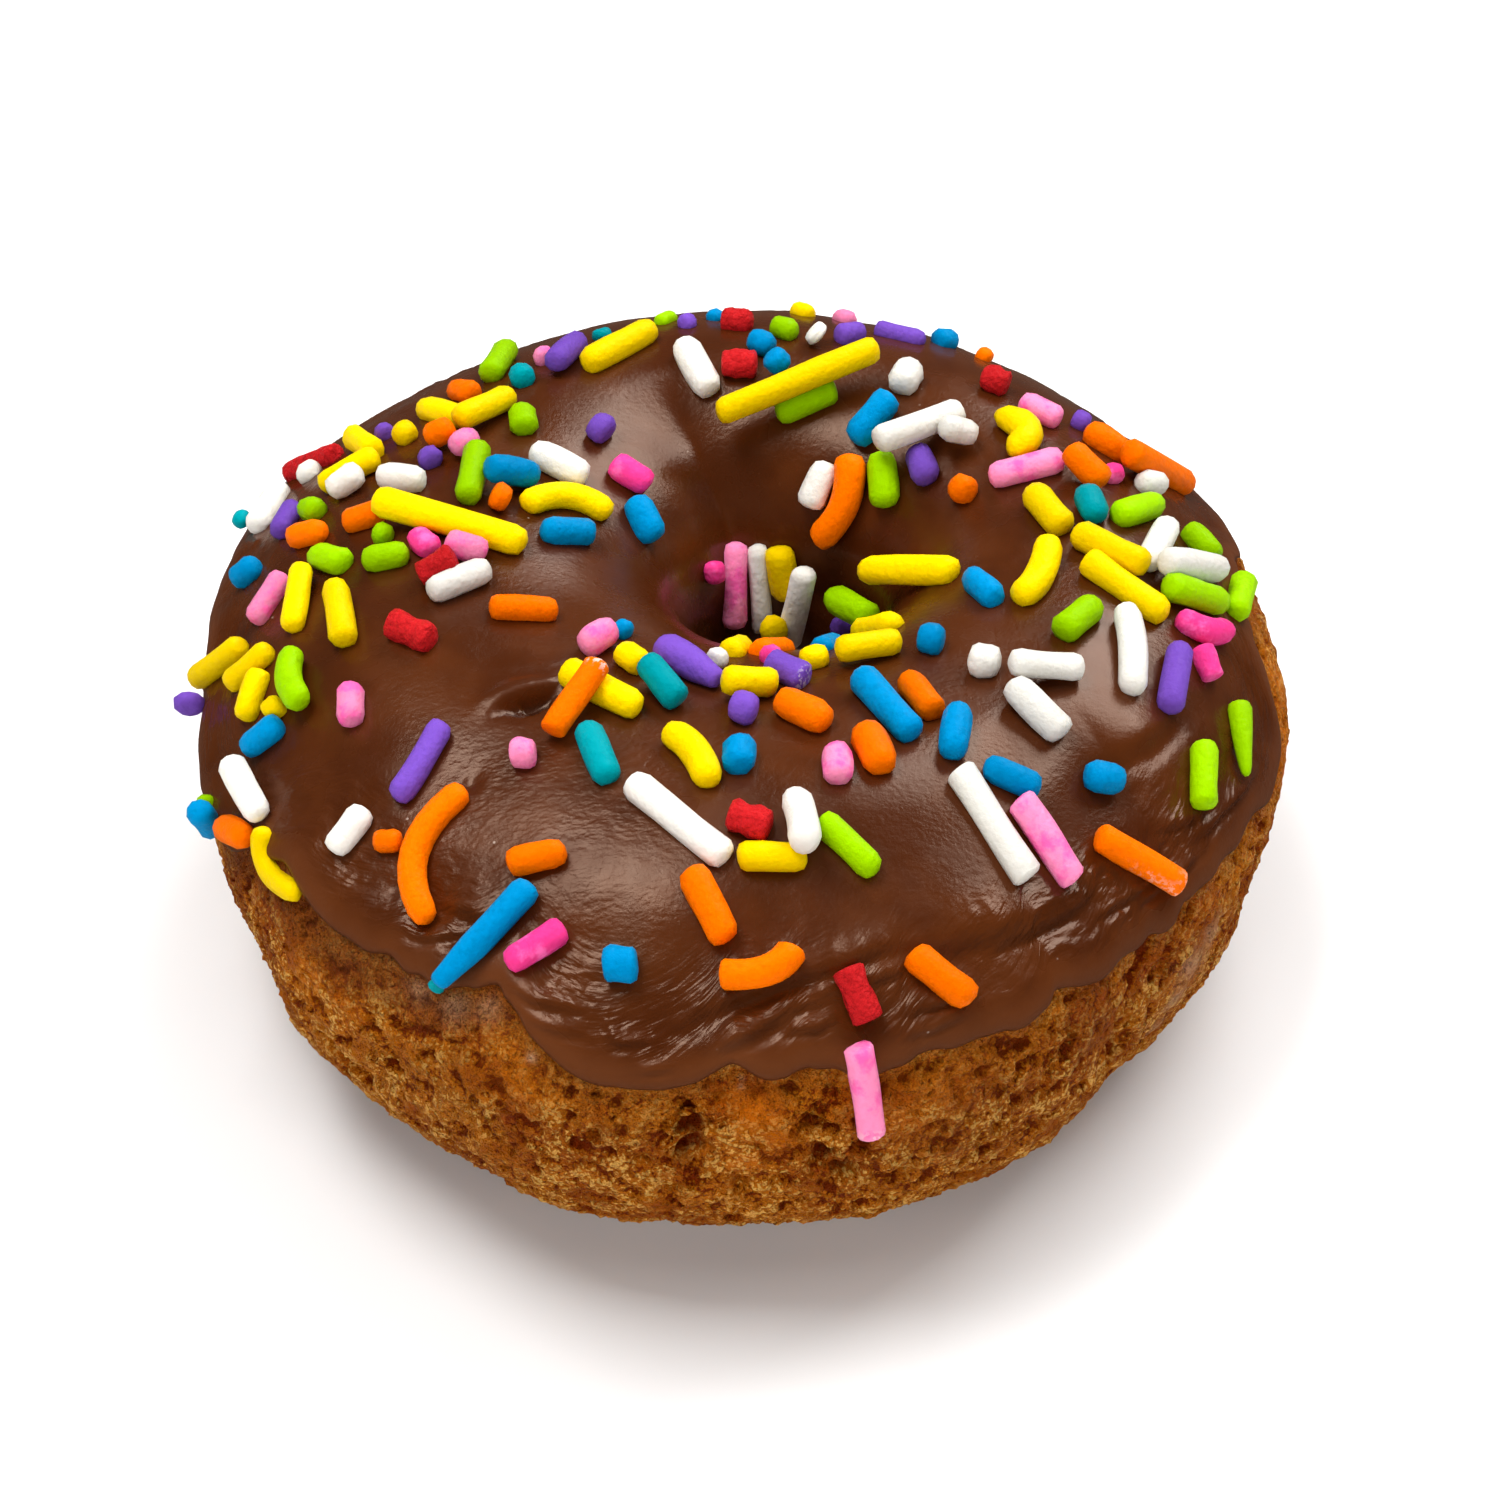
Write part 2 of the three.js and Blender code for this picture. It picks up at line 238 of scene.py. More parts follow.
@dataclass(frozen=True)
class EdgeWave:
    """A rise at one azimuth round the ring, or a dip where it is negative, in degrees and mm."""

    azimuth: float
    rise: float
    width: float

    def at(self, azimuth: np.ndarray) -> np.ndarray:
        """Return how far it rises at each azimuth, in radians."""
        return self.rise * bell(degrees_apart(azimuth, self.azimuth), self.width)


@dataclass(frozen=True)
class RingForm:
    """The smooth ring that the dough and the icing share, in millimetres."""

    height: float = 29.5
    outer_radius: float = 37.0
    crest_radius: float = 21.2
    waist_height: float = 16.9
    throat_radius: float = 6.2
    flat_depth: float = 1.0
    centre: Pair = (-0.3, 0.8)
    hole_shift: Pair = (3.05, 4.2)
    oval: tuple[tuple[int, float, float], ...] = ((2, -0.87, -0.14), (3, 0.29, 0.67))
    uneven: tuple[EdgeWave, ...] = (
        EdgeWave(37, -0.9, 14), EdgeWave(65, 0.6, 7), EdgeWave(83, 0.45, 7), EdgeWave(134, -1.1, 13),
        EdgeWave(-176, -0.4, 5), EdgeWave(-140, 0.6, 8), EdgeWave(-108, 0.9, 11),
        EdgeWave(-70, 0.6, 13), EdgeWave(-44, -0.8, 7),
    )
    shoulder: float = 1.83
    funnel: float = 2.41
    belly: float = 2.33
    hole_foot: float = 2.2
    funnel_change: float = 0.4

    def rim_radius(self, azimuth: np.ndarray) -> np.ndarray:
        """Work out the widest radius at each azimuth.

        Args:
            azimuth: Angles round the ring, in radians.

        Returns:
            The radii.
        """
        radius = np.full(np.shape(azimuth), self.outer_radius)
        for lobes, cosine, sine in self.oval:
            radius = radius + cosine * np.cos(lobes * azimuth) + sine * np.sin(lobes * azimuth)
        for wave in self.uneven:
            radius = radius + wave.at(azimuth)
        return radius

    def _span(self, above: np.ndarray) -> np.ndarray:
        """Return how far the section reaches up from the waist, or down where it is not above."""
        return np.where(above, self.height - self.waist_height, self.waist_height + self.flat_depth)

    def point(self, azimuth: np.ndarray, turn: np.ndarray) -> np.ndarray:
        """Find places on the ring.

        Args:
            azimuth: Angles round the ring, in radians.
            turn: Angles round its section, in radians.

        Returns:
            The places, x, y and z last.
        """
        azimuth, turn = np.broadcast_arrays(azimuth, turn)
        across, up = np.cos(turn), np.sin(turn)
        outside, above = across > 0, up >= 0
        funnel = self.funnel - self.funnel_change * np.sin(azimuth)
        upper = np.where(outside, self.shoulder, funnel)
        lower = np.where(outside, self.belly, self.hole_foot)
        power = 2.0 / np.where(above, upper, lower)
        reach = np.abs(across) ** power
        rise = np.sign(up) * np.abs(up) ** power
        span = self._span(above)
        rim = self.rim_radius(azimuth)
        plan = []
        for axis, direction in enumerate((np.cos(azimuth), np.sin(azimuth))):
            shift = self.hole_shift[axis]
            crest = direction * self.crest_radius + shift / 2
            side = np.where(outside, direction * rim, direction * self.throat_radius + shift)
            plan.append(crest + (side - crest) * reach + self.centre[axis])
        height = np.maximum(self.waist_height + span * rise, 0.0)
        return np.stack([plan[0], plan[1], height], axis=-1)

    def tangents(self, azimuth: np.ndarray, turn: np.ndarray) -> tuple[np.ndarray, np.ndarray]:
        """Return the directions round the ring and along its section at each place."""
        step = 0.01
        around = unit(self.point(azimuth + step, turn) - self.point(azimuth - step, turn))
        along = unit(self.point(azimuth, turn + step) - self.point(azimuth, turn - step))
        return around, along

    def normal(self, azimuth: np.ndarray, turn: np.ndarray) -> np.ndarray:
        """Return the outward direction at each place."""
        around, along = self.tangents(azimuth, turn)
        return unit(np.cross(around, along))

    def lifted(self, azimuth: np.ndarray, turn: np.ndarray, height: np.ndarray) -> np.ndarray:
        """Return places at a height above the ring, or below it where it is negative."""
        height = np.asarray(height, float)[..., None]
        return self.point(azimuth, turn) + self.normal(azimuth, turn) * height

    def turn_at_height(self, height: np.ndarray) -> np.ndarray:
        """Return the turns at which the outside of the section has a height."""
        above = height >= self.waist_height
        span = self._span(above)
        rise = (height - self.waist_height) / span
        power = np.where(above, self.shoulder, self.belly) / 2
        return np.sign(rise) * np.arcsin(np.clip(np.abs(rise) ** power, 0.0, 1.0))

    def section_length(self, turns: np.ndarray) -> np.ndarray:
        """Return the length of section between turns, taking the section as round."""
        return turns * (self.outer_radius - self.throat_radius) / 2


@dataclass(frozen=True)
class ShotCamera:
    """The camera: it looks level along +Y and down at the doughnut."""

    target: Triple = (0.57, 0.8, 13.22)
    distance: float = 260.0
    elevation: float = 42.0
    pixels_per_mm: float = 14.85
    clip: Pair = (0.01, 20.0)

    @property
    def ahead(self) -> np.ndarray:
        """The direction in which the camera looks."""
        angle = math.radians(self.elevation)
        return np.array([0.0, math.cos(angle), -math.sin(angle)])

    @property
    def up(self) -> np.ndarray:
        """The direction that is up in the frame."""
        angle = math.radians(self.elevation)
        return np.array([0.0, math.sin(angle), math.cos(angle)])

    @property
    def focal(self) -> float:
        """The distance at which a pixel spans one millimetre."""
        return self.pixels_per_mm * self.distance

    @property
    def position(self) -> np.ndarray:
        """The camera's place, in millimetres."""
        return np.array(self.target) - self.ahead * self.distance

    def ray(self, pixel: Pixel) -> np.ndarray:
        """Find the direction in which a pixel looks.

        Args:
            pixel: The place in the frame.

        Returns:
            The direction, at length one.
        """
        right_share = (pixel.x - FRAME_PX / 2) / self.focal
        up_share = (FRAME_PX / 2 - pixel.y) / self.focal
        return unit(self.ahead + np.array([1.0, 0.0, 0.0]) * right_share + self.up * up_share)

    def size_of_pixels(self, place: np.ndarray, pixels: float) -> float:
        """Return how many millimetres a count of pixels spans at a place."""
        return float((place - self.position) @ self.ahead) * pixels / self.focal

    def build(self) -> None:
        """Add the camera to the scene."""
        data = bpy.data.cameras.new("camera")
        data.sensor_width = SENSOR_MM
        data.lens = SENSOR_MM * self.focal / FRAME_PX
        data.clip_start, data.clip_end = self.clip
        camera = bpy.data.objects.new("camera", data)
        camera.location = self.position * MM
        camera.rotation_euler = (math.radians(90.0 - self.elevation), 0.0, 0.0)
        bpy.context.collection.objects.link(camera)
        bpy.context.scene.camera = camera


class Hit(NamedTuple):
    """Where a camera ray meets the ring, in millimetres."""

    place: np.ndarray
    azimuth: float
    turn: float


class RingCaster:
    """Finds the places on the ring that pixels of the camera frame look at."""

    def __init__(self, form: RingForm, camera: ShotCamera) -> None:
        """Lay a fine grid over the ring for rays to meet.

        Args:
            form: The ring.
            camera: The camera that the pixels belong to.
        """
        self.camera = camera
        self.steps, self.rows = 360, 150
        azimuth = np.linspace(-math.pi, math.pi, self.steps, endpoint=False)
        turn = np.linspace(-math.pi, math.pi, self.rows, endpoint=False)
        self.azimuths, self.turns = np.meshgrid(azimuth, turn, indexing="ij")
        self.azimuths, self.turns = self.azimuths.ravel(), self.turns.ravel()
        points = form.point(self.azimuths, self.turns)
        cells = []
        for step, row in product(range(self.steps), range(self.rows)):
            onward, over = (step + 1) % self.steps, (row + 1) % self.rows
            corners = ((step, row), (onward, row), (onward, over), (step, over))
            cells.append([along * self.rows + across for along, across in corners])
        self.tree = BVHTree.FromPolygons(points.tolist(), cells)

    def cast(self, pixel: Pixel) -> Hit | None:
        """Follow a pixel's ray to the ring.

        Args:
            pixel: The place in the frame.

        Returns:
            The hit, or None where the ray passes the ring by.
        """
        start = Vector(self.camera.position)
        place, _, cell, _ = self.tree.ray_cast(start, Vector(self.camera.ray(pixel)))
        if place is None:
            return None
        azimuth = self.azimuths[cell] + math.pi / self.steps
        turn = self.turns[cell] + math.pi / self.rows
        return Hit(np.array(place), float(azimuth), float(turn))

    def fading(self, points: np.ndarray, spot: Spot, ragged: np.ndarray | float = 1.0) -> np.ndarray:
        """Work out how much a spot does at each point: its whole amount in its middle.

        Args:
            points: The points, one row each.
            spot: The spot.
            ragged: What the points' distances are multiplied by.

        Returns:
            The amounts, all 0 where the spot's ray passes the ring by.
        """
        hit = self.cast(Pixel(spot.x, spot.y))
        if hit is None:
            return np.zeros(len(points))
        distance = np.linalg.norm(points - hit.place, axis=1) * ragged
        return spot.amount * bell(distance, spot.radius)

    def most(self, points: np.ndarray, spots: Sequence[Spot]) -> np.ndarray:
        """Return the most that any of some spots does at each point."""
        return np.maximum.reduce([np.zeros(len(points)), *(self.fading(points, spot) for spot in spots)])

    def cast_path(self, path: Sequence[Pixel], spacing: float = 8.0) -> np.ndarray:
        """Follow a line drawn in the frame over the ring.

        Args:
            path: The line's corners.
            spacing: How far apart its points are taken, in pixels.

        Returns:
            The places that it runs through, one row each.
        """
        places = []
        for start, end in zip(path[:-1], path[1:]):
            count = max(2, int(math.dist(start, end) / spacing))
            for share in np.linspace(0.0, 1.0, count):
                along = Pixel(*(np.array(start) * (1 - share) + np.array(end) * share))
                hit = self.cast(along)
                if hit is not None:
                    places.append(hit.place)
        return np.array(places)


@dataclass
class IcingEdge:
    """Where the icing ends on the shoulder of the ring and in its hole."""

    form: RingForm
    caster: RingCaster
    height: float = 20.9
    hole_turn: float = math.radians(191)
    hole_wave: float = math.radians(2)
    fade: float = math.radians(12)
    fray: float = 0.13
    waves: tuple[EdgeWave, ...] = (
        EdgeWave(-163, -2.7, 13), EdgeWave(-140, 0.8, 8), EdgeWave(-113, 2.3, 3.5),
        EdgeWave(-101, -1.3, 6), EdgeWave(-76, -0.8, 5), EdgeWave(-64, -0.6, 3.5),
        EdgeWave(-14, -3.4, 8), EdgeWave(8, 2.9, 13), EdgeWave(50, -0.9, 11), EdgeWave(84, 1.2, 13),
        EdgeWave(112, -1.1, 9), EdgeWave(140, 0.9, 9),
    )
    seen: tuple[Pixel, ...] = line_of(
        235, 850, 262, 850, 285, 862, 303, 890, 318, 912, 345, 935,
        379, 955, 404, 965, 423, 975, 470, 990, 506, 1000,
        519, 1010, 538, 1041, 567, 1070, 615, 1086, 662, 1088, 700, 1080, 727, 1067, 753, 1072,
        791, 1077, 812, 1067, 850, 1075, 888, 1072, 919, 1054, 944, 1046, 983, 1041, 1002, 1031,
        1043, 1008, 1050, 993, 1079, 985, 1104, 972, 1124, 957, 1142, 937, 1168, 926, 1178, 903,
        1201, 888, 1214, 865, 1230, 847, 1244, 828, 1257, 808, 1268, 790, 1276, 760, 1274, 730,
        1269, 700, 1262, 675, 1252, 645, 1240, 612,
    )
    azimuths: np.ndarray = field(init=False)
    changes: np.ndarray = field(init=False)

    def __post_init__(self) -> None:
        """Work out how far the seen edge departs from the plain waves."""
        hits = [hit for hit in (self.caster.cast(pixel) for pixel in self.seen) if hit]
        azimuths = np.array([hit.azimuth for hit in hits])
        heights = np.array([hit.place[2] for hit in hits])
        order = np.argsort(azimuths)
        self.azimuths = azimuths[order]
        self.changes = heights[order] - self._wave_height(self.azimuths)

    def _wave_height(self, azimuth: np.ndarray) -> np.ndarray:
        """Return the edge's height as the plain waves give it."""
        height = np.full(np.shape(azimuth), self.height)
        for wave in self.waves:
            height = height + wave.at(azimuth)
        return height

    def start(self, azimuth: np.ndarray) -> np.ndarray:
        """Work out where the icing starts on the shoulder.

        Args:
            azimuth: Angles round the ring, in radians.

        Returns:
            The turn at each azimuth.
        """
        azimuth = np.asarray(azimuth, float)
        first, last = self.azimuths[0] - self.fade, self.azimuths[-1] + self.fade
        places = np.concatenate([[first], self.azimuths, [last]])
        change = np.interp(wrap(azimuth), places, np.pad(self.changes, 1))
        fray = (np.sin(37 * azimuth + 2 * np.sin(5 * azimuth))
                + np.sin(61 * azimuth + 3 * np.sin(9 * azimuth)))
        height = self._wave_height(azimuth) + change + self.fray * fray
        return self.form.turn_at_height(height)

    def end(self, azimuth: np.ndarray) -> np.ndarray:
        """Return the turns at which the icing ends in the hole."""
        return self.hole_turn + self.hole_wave * np.sin(3 * np.asarray(azimuth, float))

    def inside(self, azimuth: np.ndarray, turn: np.ndarray) -> np.ndarray:
        """Return how far each place is inside the icing's nearer edge, in millimetres."""
        nearer = np.minimum(turn - self.start(azimuth), self.end(azimuth) - turn)
        return self.form.section_length(nearer)


class RingMesh:
    """A closed ring of mesh whose steps lie closest together on the near side."""

    RADIUS = 20.0
    SECTION = 5.0
    WEIGHT_STEPS = 50

    def __init__(self, name: str, around: int, rows: int, crowding: float) -> None:
        """Sweep a circle into the torus that is then shaped.

        Args:
            name: The object's name.
            around: The number of steps round the ring.
            rows: The number of rows round its section.
            crowding: How far the steps are drawn to the near side, from 0 to 1.
        """
        bpy.ops.mesh.primitive_circle_add(vertices=rows, radius=self.SECTION, enter_editmode=True)
        bpy.ops.transform.rotate(value=math.pi / 2, orient_axis="X", center_override=(0.0, 0.0, 0.0))
        bpy.ops.transform.translate(value=(self.RADIUS, 0.0, 0.0))
        bpy.ops.object.mode_set(mode="OBJECT")
        self.piece = bpy.context.active_object
        self.piece.name = self.piece.data.name = name
        sweep = self.piece.modifiers.new("sweep", "SCREW")
        sweep.steps = sweep.render_steps = around
        sweep.use_merge_vertices = True
        sweep.merge_threshold = 0.001
        self._apply(sweep)
        with edit_mode():
            bpy.ops.mesh.normals_make_consistent(inside=False)
        points = read_points(self.piece)
        even = np.arctan2(points[:, 1], points[:, 0])
        self.azimuth = even - crowding * np.cos(even)
        radius = np.hypot(points[:, 0], points[:, 1]) - self.RADIUS
        angle = np.arctan2(points[:, 2], radius)
        self.share = (np.round((angle - angle[0]) / (2 * math.pi) * rows) % rows) / rows

    def _apply(self, modifier: bpy.types.Modifier) -> None:
        """Apply a modifier to the mesh."""
        select_only(self.piece)
        bpy.ops.object.modifier_apply(modifier=modifier.name)

    def weigh(self, name: str, weights: np.ndarray) -> None:
        """Store a vertex group that a push can be limited to.

        Args:
            name: The group's name.
            weights: A weight from 0 to 1 for each vertex.
        """
        group = self.piece.vertex_groups.new(name=name)
        steps = np.round(np.clip(weights, 0.0, 1.0) * self.WEIGHT_STEPS).astype(int)
        for step in range(1, self.WEIGHT_STEPS + 1):
            chosen = np.nonzero(steps == step)[0]
            if len(chosen):
                group.add(chosen.tolist(), step / self.WEIGHT_STEPS, "REPLACE")

    def keep(self, **values: np.ndarray) -> None:
        """Store a number or a place for each vertex under each name, for the finish to read."""
        for name, value in values.items():
            keep_attribute(self.piece, name, value)

    def displace(
        self, texture: bpy.types.Texture, strength: float, middle: float, group: str
    ) -> None:
        """Push the mesh out and in by a texture.

        Args:
            texture: The texture, in millimetres.
            strength: The whole range of the push.
            middle: The texture's value that stays where it is.
            group: The vertex group that the push is limited to.
        """
        modifier = self.piece.modifiers.new("relief", "DISPLACE")
        modifier.texture = texture
        modifier.texture_coords = "LOCAL"
        modifier.strength = strength
        modifier.mid_level = middle
        modifier.vertex_group = group
        self._apply(modifier)


def cloud_texture(
    name: str, size: float, depth: int = 2, basis: str = "BLENDER_ORIGINAL", hard: bool = False
) -> bpy.types.Texture:
    """Make a cloud texture for relief.

    Args:
        name: The texture's name.
        size: The size of its lumps, in millimetres.
        depth: How many finer layers it has.
        basis: Blender's name for its noise.
        hard: Whether the lumps have sharp creases.

    Returns:
        The texture.
    """
    texture = bpy.data.textures.new(name, "CLOUDS")
    texture.noise_scale = size
    texture.noise_depth = depth
    texture.noise_basis = basis
    texture.noise_type = "HARD_NOISE" if hard else "SOFT_NOISE"
    return texture


def pit_texture(name: str, size: float, low: float, high: float) -> bpy.types.Texture:
    """Make a texture of scattered pits: 0 in them, 1 on the level between them.

    Args:
        name: The texture's name.
        size: The size of its pattern, in millimetres.
        low: The noise below which a pit has its full depth.
        high: The noise above which there is no pit.

    Returns:
        The texture.
    """
    texture = cloud_texture(name, size, 3)
    texture.use_color_ramp = True
    stops = texture.color_ramp.elements
    stops[0].position, stops[0].color = low, (0.0, 0.0, 0.0, 1.0)
    stops[1].position, stops[1].color = high, (1.0, 1.0, 1.0, 1.0)
    return texture


def path_distance(points: np.ndarray, path: np.ndarray) -> tuple[np.ndarray, np.ndarray, np.ndarray]:
    """Measure how far points lie from a line of places.

    Args:
        points: The points, one row each.
        path: The line's places, one row each.

    Returns:
        The distances, the offsets from the nearest place, and how far along the line that
        place is, from 0 to 1.
    """
    best = np.full(len(points), np.inf)
    offset = np.zeros_like(points)
    along = np.zeros(len(points))
    pieces = len(path) - 1
    for index in range(pieces):
        start, step = path[index], path[index + 1] - path[index]
        length = float(step @ step)
        if length < 1e-9:
            continue
        share = np.clip((points - start) @ step / length, 0.0, 1.0)
        gap = points - (start + share[:, None] * step)
        distance = np.linalg.norm(gap, axis=1)
        nearer = distance < best
        best[nearer] = distance[nearer]
        offset[nearer] = gap[nearer]
        along[nearer] = (index + share[nearer]) / pieces
    return best, offset, along


# ---- node groups and finishes


class NodeBook:
    """Writes shader nodes into one tree, so that finishes read as a list of steps."""

    def __init__(self, tree: bpy.types.NodeTree) -> None:
        """Keep the tree that nodes are added to."""
        self.tree = tree

    def add(self, kind: str, **settings: object) -> bpy.types.Node:
        """Add a node and set its properties.

        Args:
            kind: Blender's name for the node.
            settings: The node's properties.

        Returns:
            The node.
        """
        node = self.tree.nodes.new(kind)
        for name, value in settings.items():
            setattr(node, name, value)
        return node

    def link(self, source: object, target: bpy.types.NodeSocket) -> None:
        """Join a socket to an input, or set the input where the source is a plain value."""
        if isinstance(source, bpy.types.NodeSocket):
            self.tree.links.new(source, target)
        else:
            target.default_value = source

    def feed(self, node: bpy.types.Node, **inputs: object) -> bpy.types.Node:
        """Set or link a node's inputs by name, with _ for a space.

        Args:
            node: The node.
            inputs: A value, or a socket to link from.

        Returns:
            The node.
        """
        for name, value in inputs.items():
            self.link(value, node.inputs[name.replace("_", " ")])
        return node

    def coat(self, colour: object, *coats: tuple[object, object]) -> object:
        """Lay colours over one another.

        Args:
            colour: The colour or socket under them.
            coats: How much of each shows, and its colour, the lowest first.

        Returns:
            The socket of the result.
        """
        for share, over in coats:
            node = self.add("ShaderNodeMix", data_type="RGBA")
            for index, value in ((0, share), (6, colour), (7, over)):
                self.link((*value, 1.0) if isinstance(value, tuple) else value, node.inputs[index])
            colour = node.outputs[2]
        return colour

    def math(self, operation: str, first: object, second: object) -> object:
        """Work out one calculation.

        Args:
            operation: Blender's name for it.
            first: A number or a socket.
            second: A number or a socket.

        Returns:
            The socket of the result.
        """
        node = self.add("ShaderNodeMath", operation=operation)
        for index, value in enumerate((first, second)):
            self.link(value, node.inputs[index])
        return node.outputs[0]

    def times(self, first: object, second: object) -> object:
        """Return the socket of a product."""
        return self.math("MULTIPLY", first, second)

    def plus(self, first: object, second: object) -> object:
        """Return the socket of a sum."""
        return self.math("ADD", first, second)

    def range(
        self, value: object, low: object, high: object, start: float = 0.0, end: float = 1.0
    ) -> object:
        """Map a value from one range to another, clamped.

        Args:
            value: The socket to map.
            low: Its value that gives start, a number or a socket.
            high: Its value that gives end, a number or a socket.
            start: The result at low.
            end: The result at high.

        Returns:
            The socket of the result.
        """
        node = self.add("ShaderNodeMapRange", interpolation_type="SMOOTHSTEP")
        self.feed(node, Value=value, From_Min=low, From_Max=high, To_Min=start, To_Max=end)
        return node.outputs["Result"]

    def attribute(self, name: str, output: str = "Fac") -> object:
        """Return the socket of what is kept on the piece's vertices."""
        return self.add("ShaderNodeAttribute", attribute_name=name).outputs[output]

    def stretched(self, place: object, lengths: Triple) -> object:
        """Return the socket of a place measured in lengths of its own along each axis."""
        node = self.add("ShaderNodeMapping")
        self.feed(node, Vector=place, Scale=tuple(1.0 / length for length in lengths))
        return node.outputs["Vector"]


def new_group(name: str, inputs: Sequence[tuple[str, str, object]], outputs: Sequence[str]) -> NodeBook:
    """Start a shader node group.

    Args:
        name: The group's name.
        inputs: The name, the kind and the usual value of each input.
        outputs: The names of its outputs, all plain numbers.

    Returns:
        The book to write its nodes with.
    """
    tree = bpy.data.node_groups.new(name, "ShaderNodeTree")
    for label, kind, usual in inputs:
        socket = tree.interface.new_socket(label, in_out="INPUT", socket_type=kind)
        if usual is not None:
            socket.default_value = usual
    for label in outputs:
        tree.interface.new_socket(label, in_out="OUTPUT", socket_type="NodeSocketFloat")
    return NodeBook(tree)


@dataclass
class EffectGroups:
    """The effects that more than one finish uses."""

    patches: bpy.types.NodeTree = field(init=False)
    grain: bpy.types.NodeTree = field(init=False)

    def __post_init__(self) -> None:
        """Build both groups."""
        self.patches = self._build_patches()
        self.grain = self._build_grain()

    def _build_patches(self) -> bpy.types.NodeTree:
        """Build a mask of soft-edged patches of a given size.

        Returns:
            The group.
        """
        book = new_group("soft_patches", (
            ("Vector", "NodeSocketVector", None),
            ("Size", "NodeSocketFloat", 5.0),
            ("Detail", "NodeSocketFloat", 3.0),
            ("Low", "NodeSocketFloat", 0.4),
            ("High", "NodeSocketFloat", 0.6),
        ), ("Mask",))
        entry, leaving = book.add("NodeGroupInput"), book.add("NodeGroupOutput")
        scale = book.math("DIVIDE", 1.0 / MM, entry.outputs["Size"])
        noise = book.add("ShaderNodeTexNoise")
        book.feed(noise, Vector=entry.outputs["Vector"], Scale=scale,
                  Detail=entry.outputs["Detail"], Roughness=0.6)
        mask = book.range(noise.outputs["Fac"], entry.outputs["Low"], entry.outputs["High"])
        book.link(mask, leaving.inputs["Mask"])
        return book.tree

    def _build_grain(self) -> bpy.types.NodeTree:
        """Build a grain of small rounded lumps with finer grit on them.

        Returns:
            The group.
        """
        book = new_group("fine_grain", (
            ("Vector", "NodeSocketVector", None),
            ("Size", "NodeSocketFloat", 0.5),
            ("Grit", "NodeSocketFloat", 0.3),
        ), ("Height",))
        entry, leaving = book.add("NodeGroupInput"), book.add("NodeGroupOutput")
        scale = book.math("DIVIDE", 1.0 / MM, entry.outputs["Size"])
        lumps = book.add("ShaderNodeTexVoronoi", feature="SMOOTH_F1")
        book.feed(lumps, Vector=entry.outputs["Vector"], Scale=scale, Smoothness=0.5)
        grit = book.add("ShaderNodeTexNoise")
        book.feed(grit, Vector=entry.outputs["Vector"], Scale=book.times(scale, 2.3),
                  Detail=4.0)
        rough = book.times(grit.outputs["Fac"], entry.outputs["Grit"])
        rounded = book.math("SUBTRACT", 1.0, lumps.outputs["Distance"])
        book.link(book.plus(rounded, rough), leaving.inputs["Height"])
        return book.tree


class Finish:
    """A material with one Principled BSDF, begun empty."""

    def __init__(self, name: str, groups: EffectGroups) -> None:
        """Start the material.

        Args:
            name: The material's name.
            groups: The shared effects.
        """
        self.groups = groups
        self.material = bpy.data.materials.new(name)
        self.material.use_nodes = True
        tree = self.material.node_tree
        tree.nodes.clear()
        self.book = NodeBook(tree)
        self.shader = self.book.add("ShaderNodeBsdfPrincipled")
        output = self.book.add("ShaderNodeOutputMaterial")
        self.book.link(self.shader.outputs["BSDF"], output.inputs["Surface"])
        self.place = self.book.add("ShaderNodeTexCoord").outputs["Object"]

    def patches(
        self, size: float, low: float, high: float, detail: float = 3.0, place: object = None
    ) -> object:
        """Place the shared patches and return the socket of their mask."""
        node = self.book.add("ShaderNodeGroup")
        node.node_tree = self.groups.patches
        self.book.feed(node, Vector=place or self.place, Size=size, Low=low, High=high, Detail=detail)
        return node.outputs["Mask"]

    def grain(self, size: float, grit: float) -> object:
        """Place the shared grain and return the socket of its height."""
        node = self.book.add("ShaderNodeGroup")
        node.node_tree = self.groups.grain
        self.book.feed(node, Vector=self.place, Size=size, Grit=grit)
        return node.outputs["Height"]

    def bump(self, height: object, depth: float, under: object = None) -> object:
        """Turn a height into a normal.

        Args:
            height: The socket of the height, from 0 to 1.
            depth: What 1 stands for, in millimetres.
            under: The socket of a coarser normal to add to.

        Returns:
            The socket of the normal.
        """
        node = self.book.add("ShaderNodeBump")
        self.book.feed(node, Height=height, Distance=depth * MM, Strength=1.0)
        if under is not None:
            self.book.link(under, node.inputs["Normal"])
        return node.outputs["Normal"]

    def close(self, **inputs: object) -> bpy.types.Material:
        """Set or link the shader's inputs by name, with _ for a space, and return the material."""
        self.book.feed(self.shader, **inputs)
        return self.material


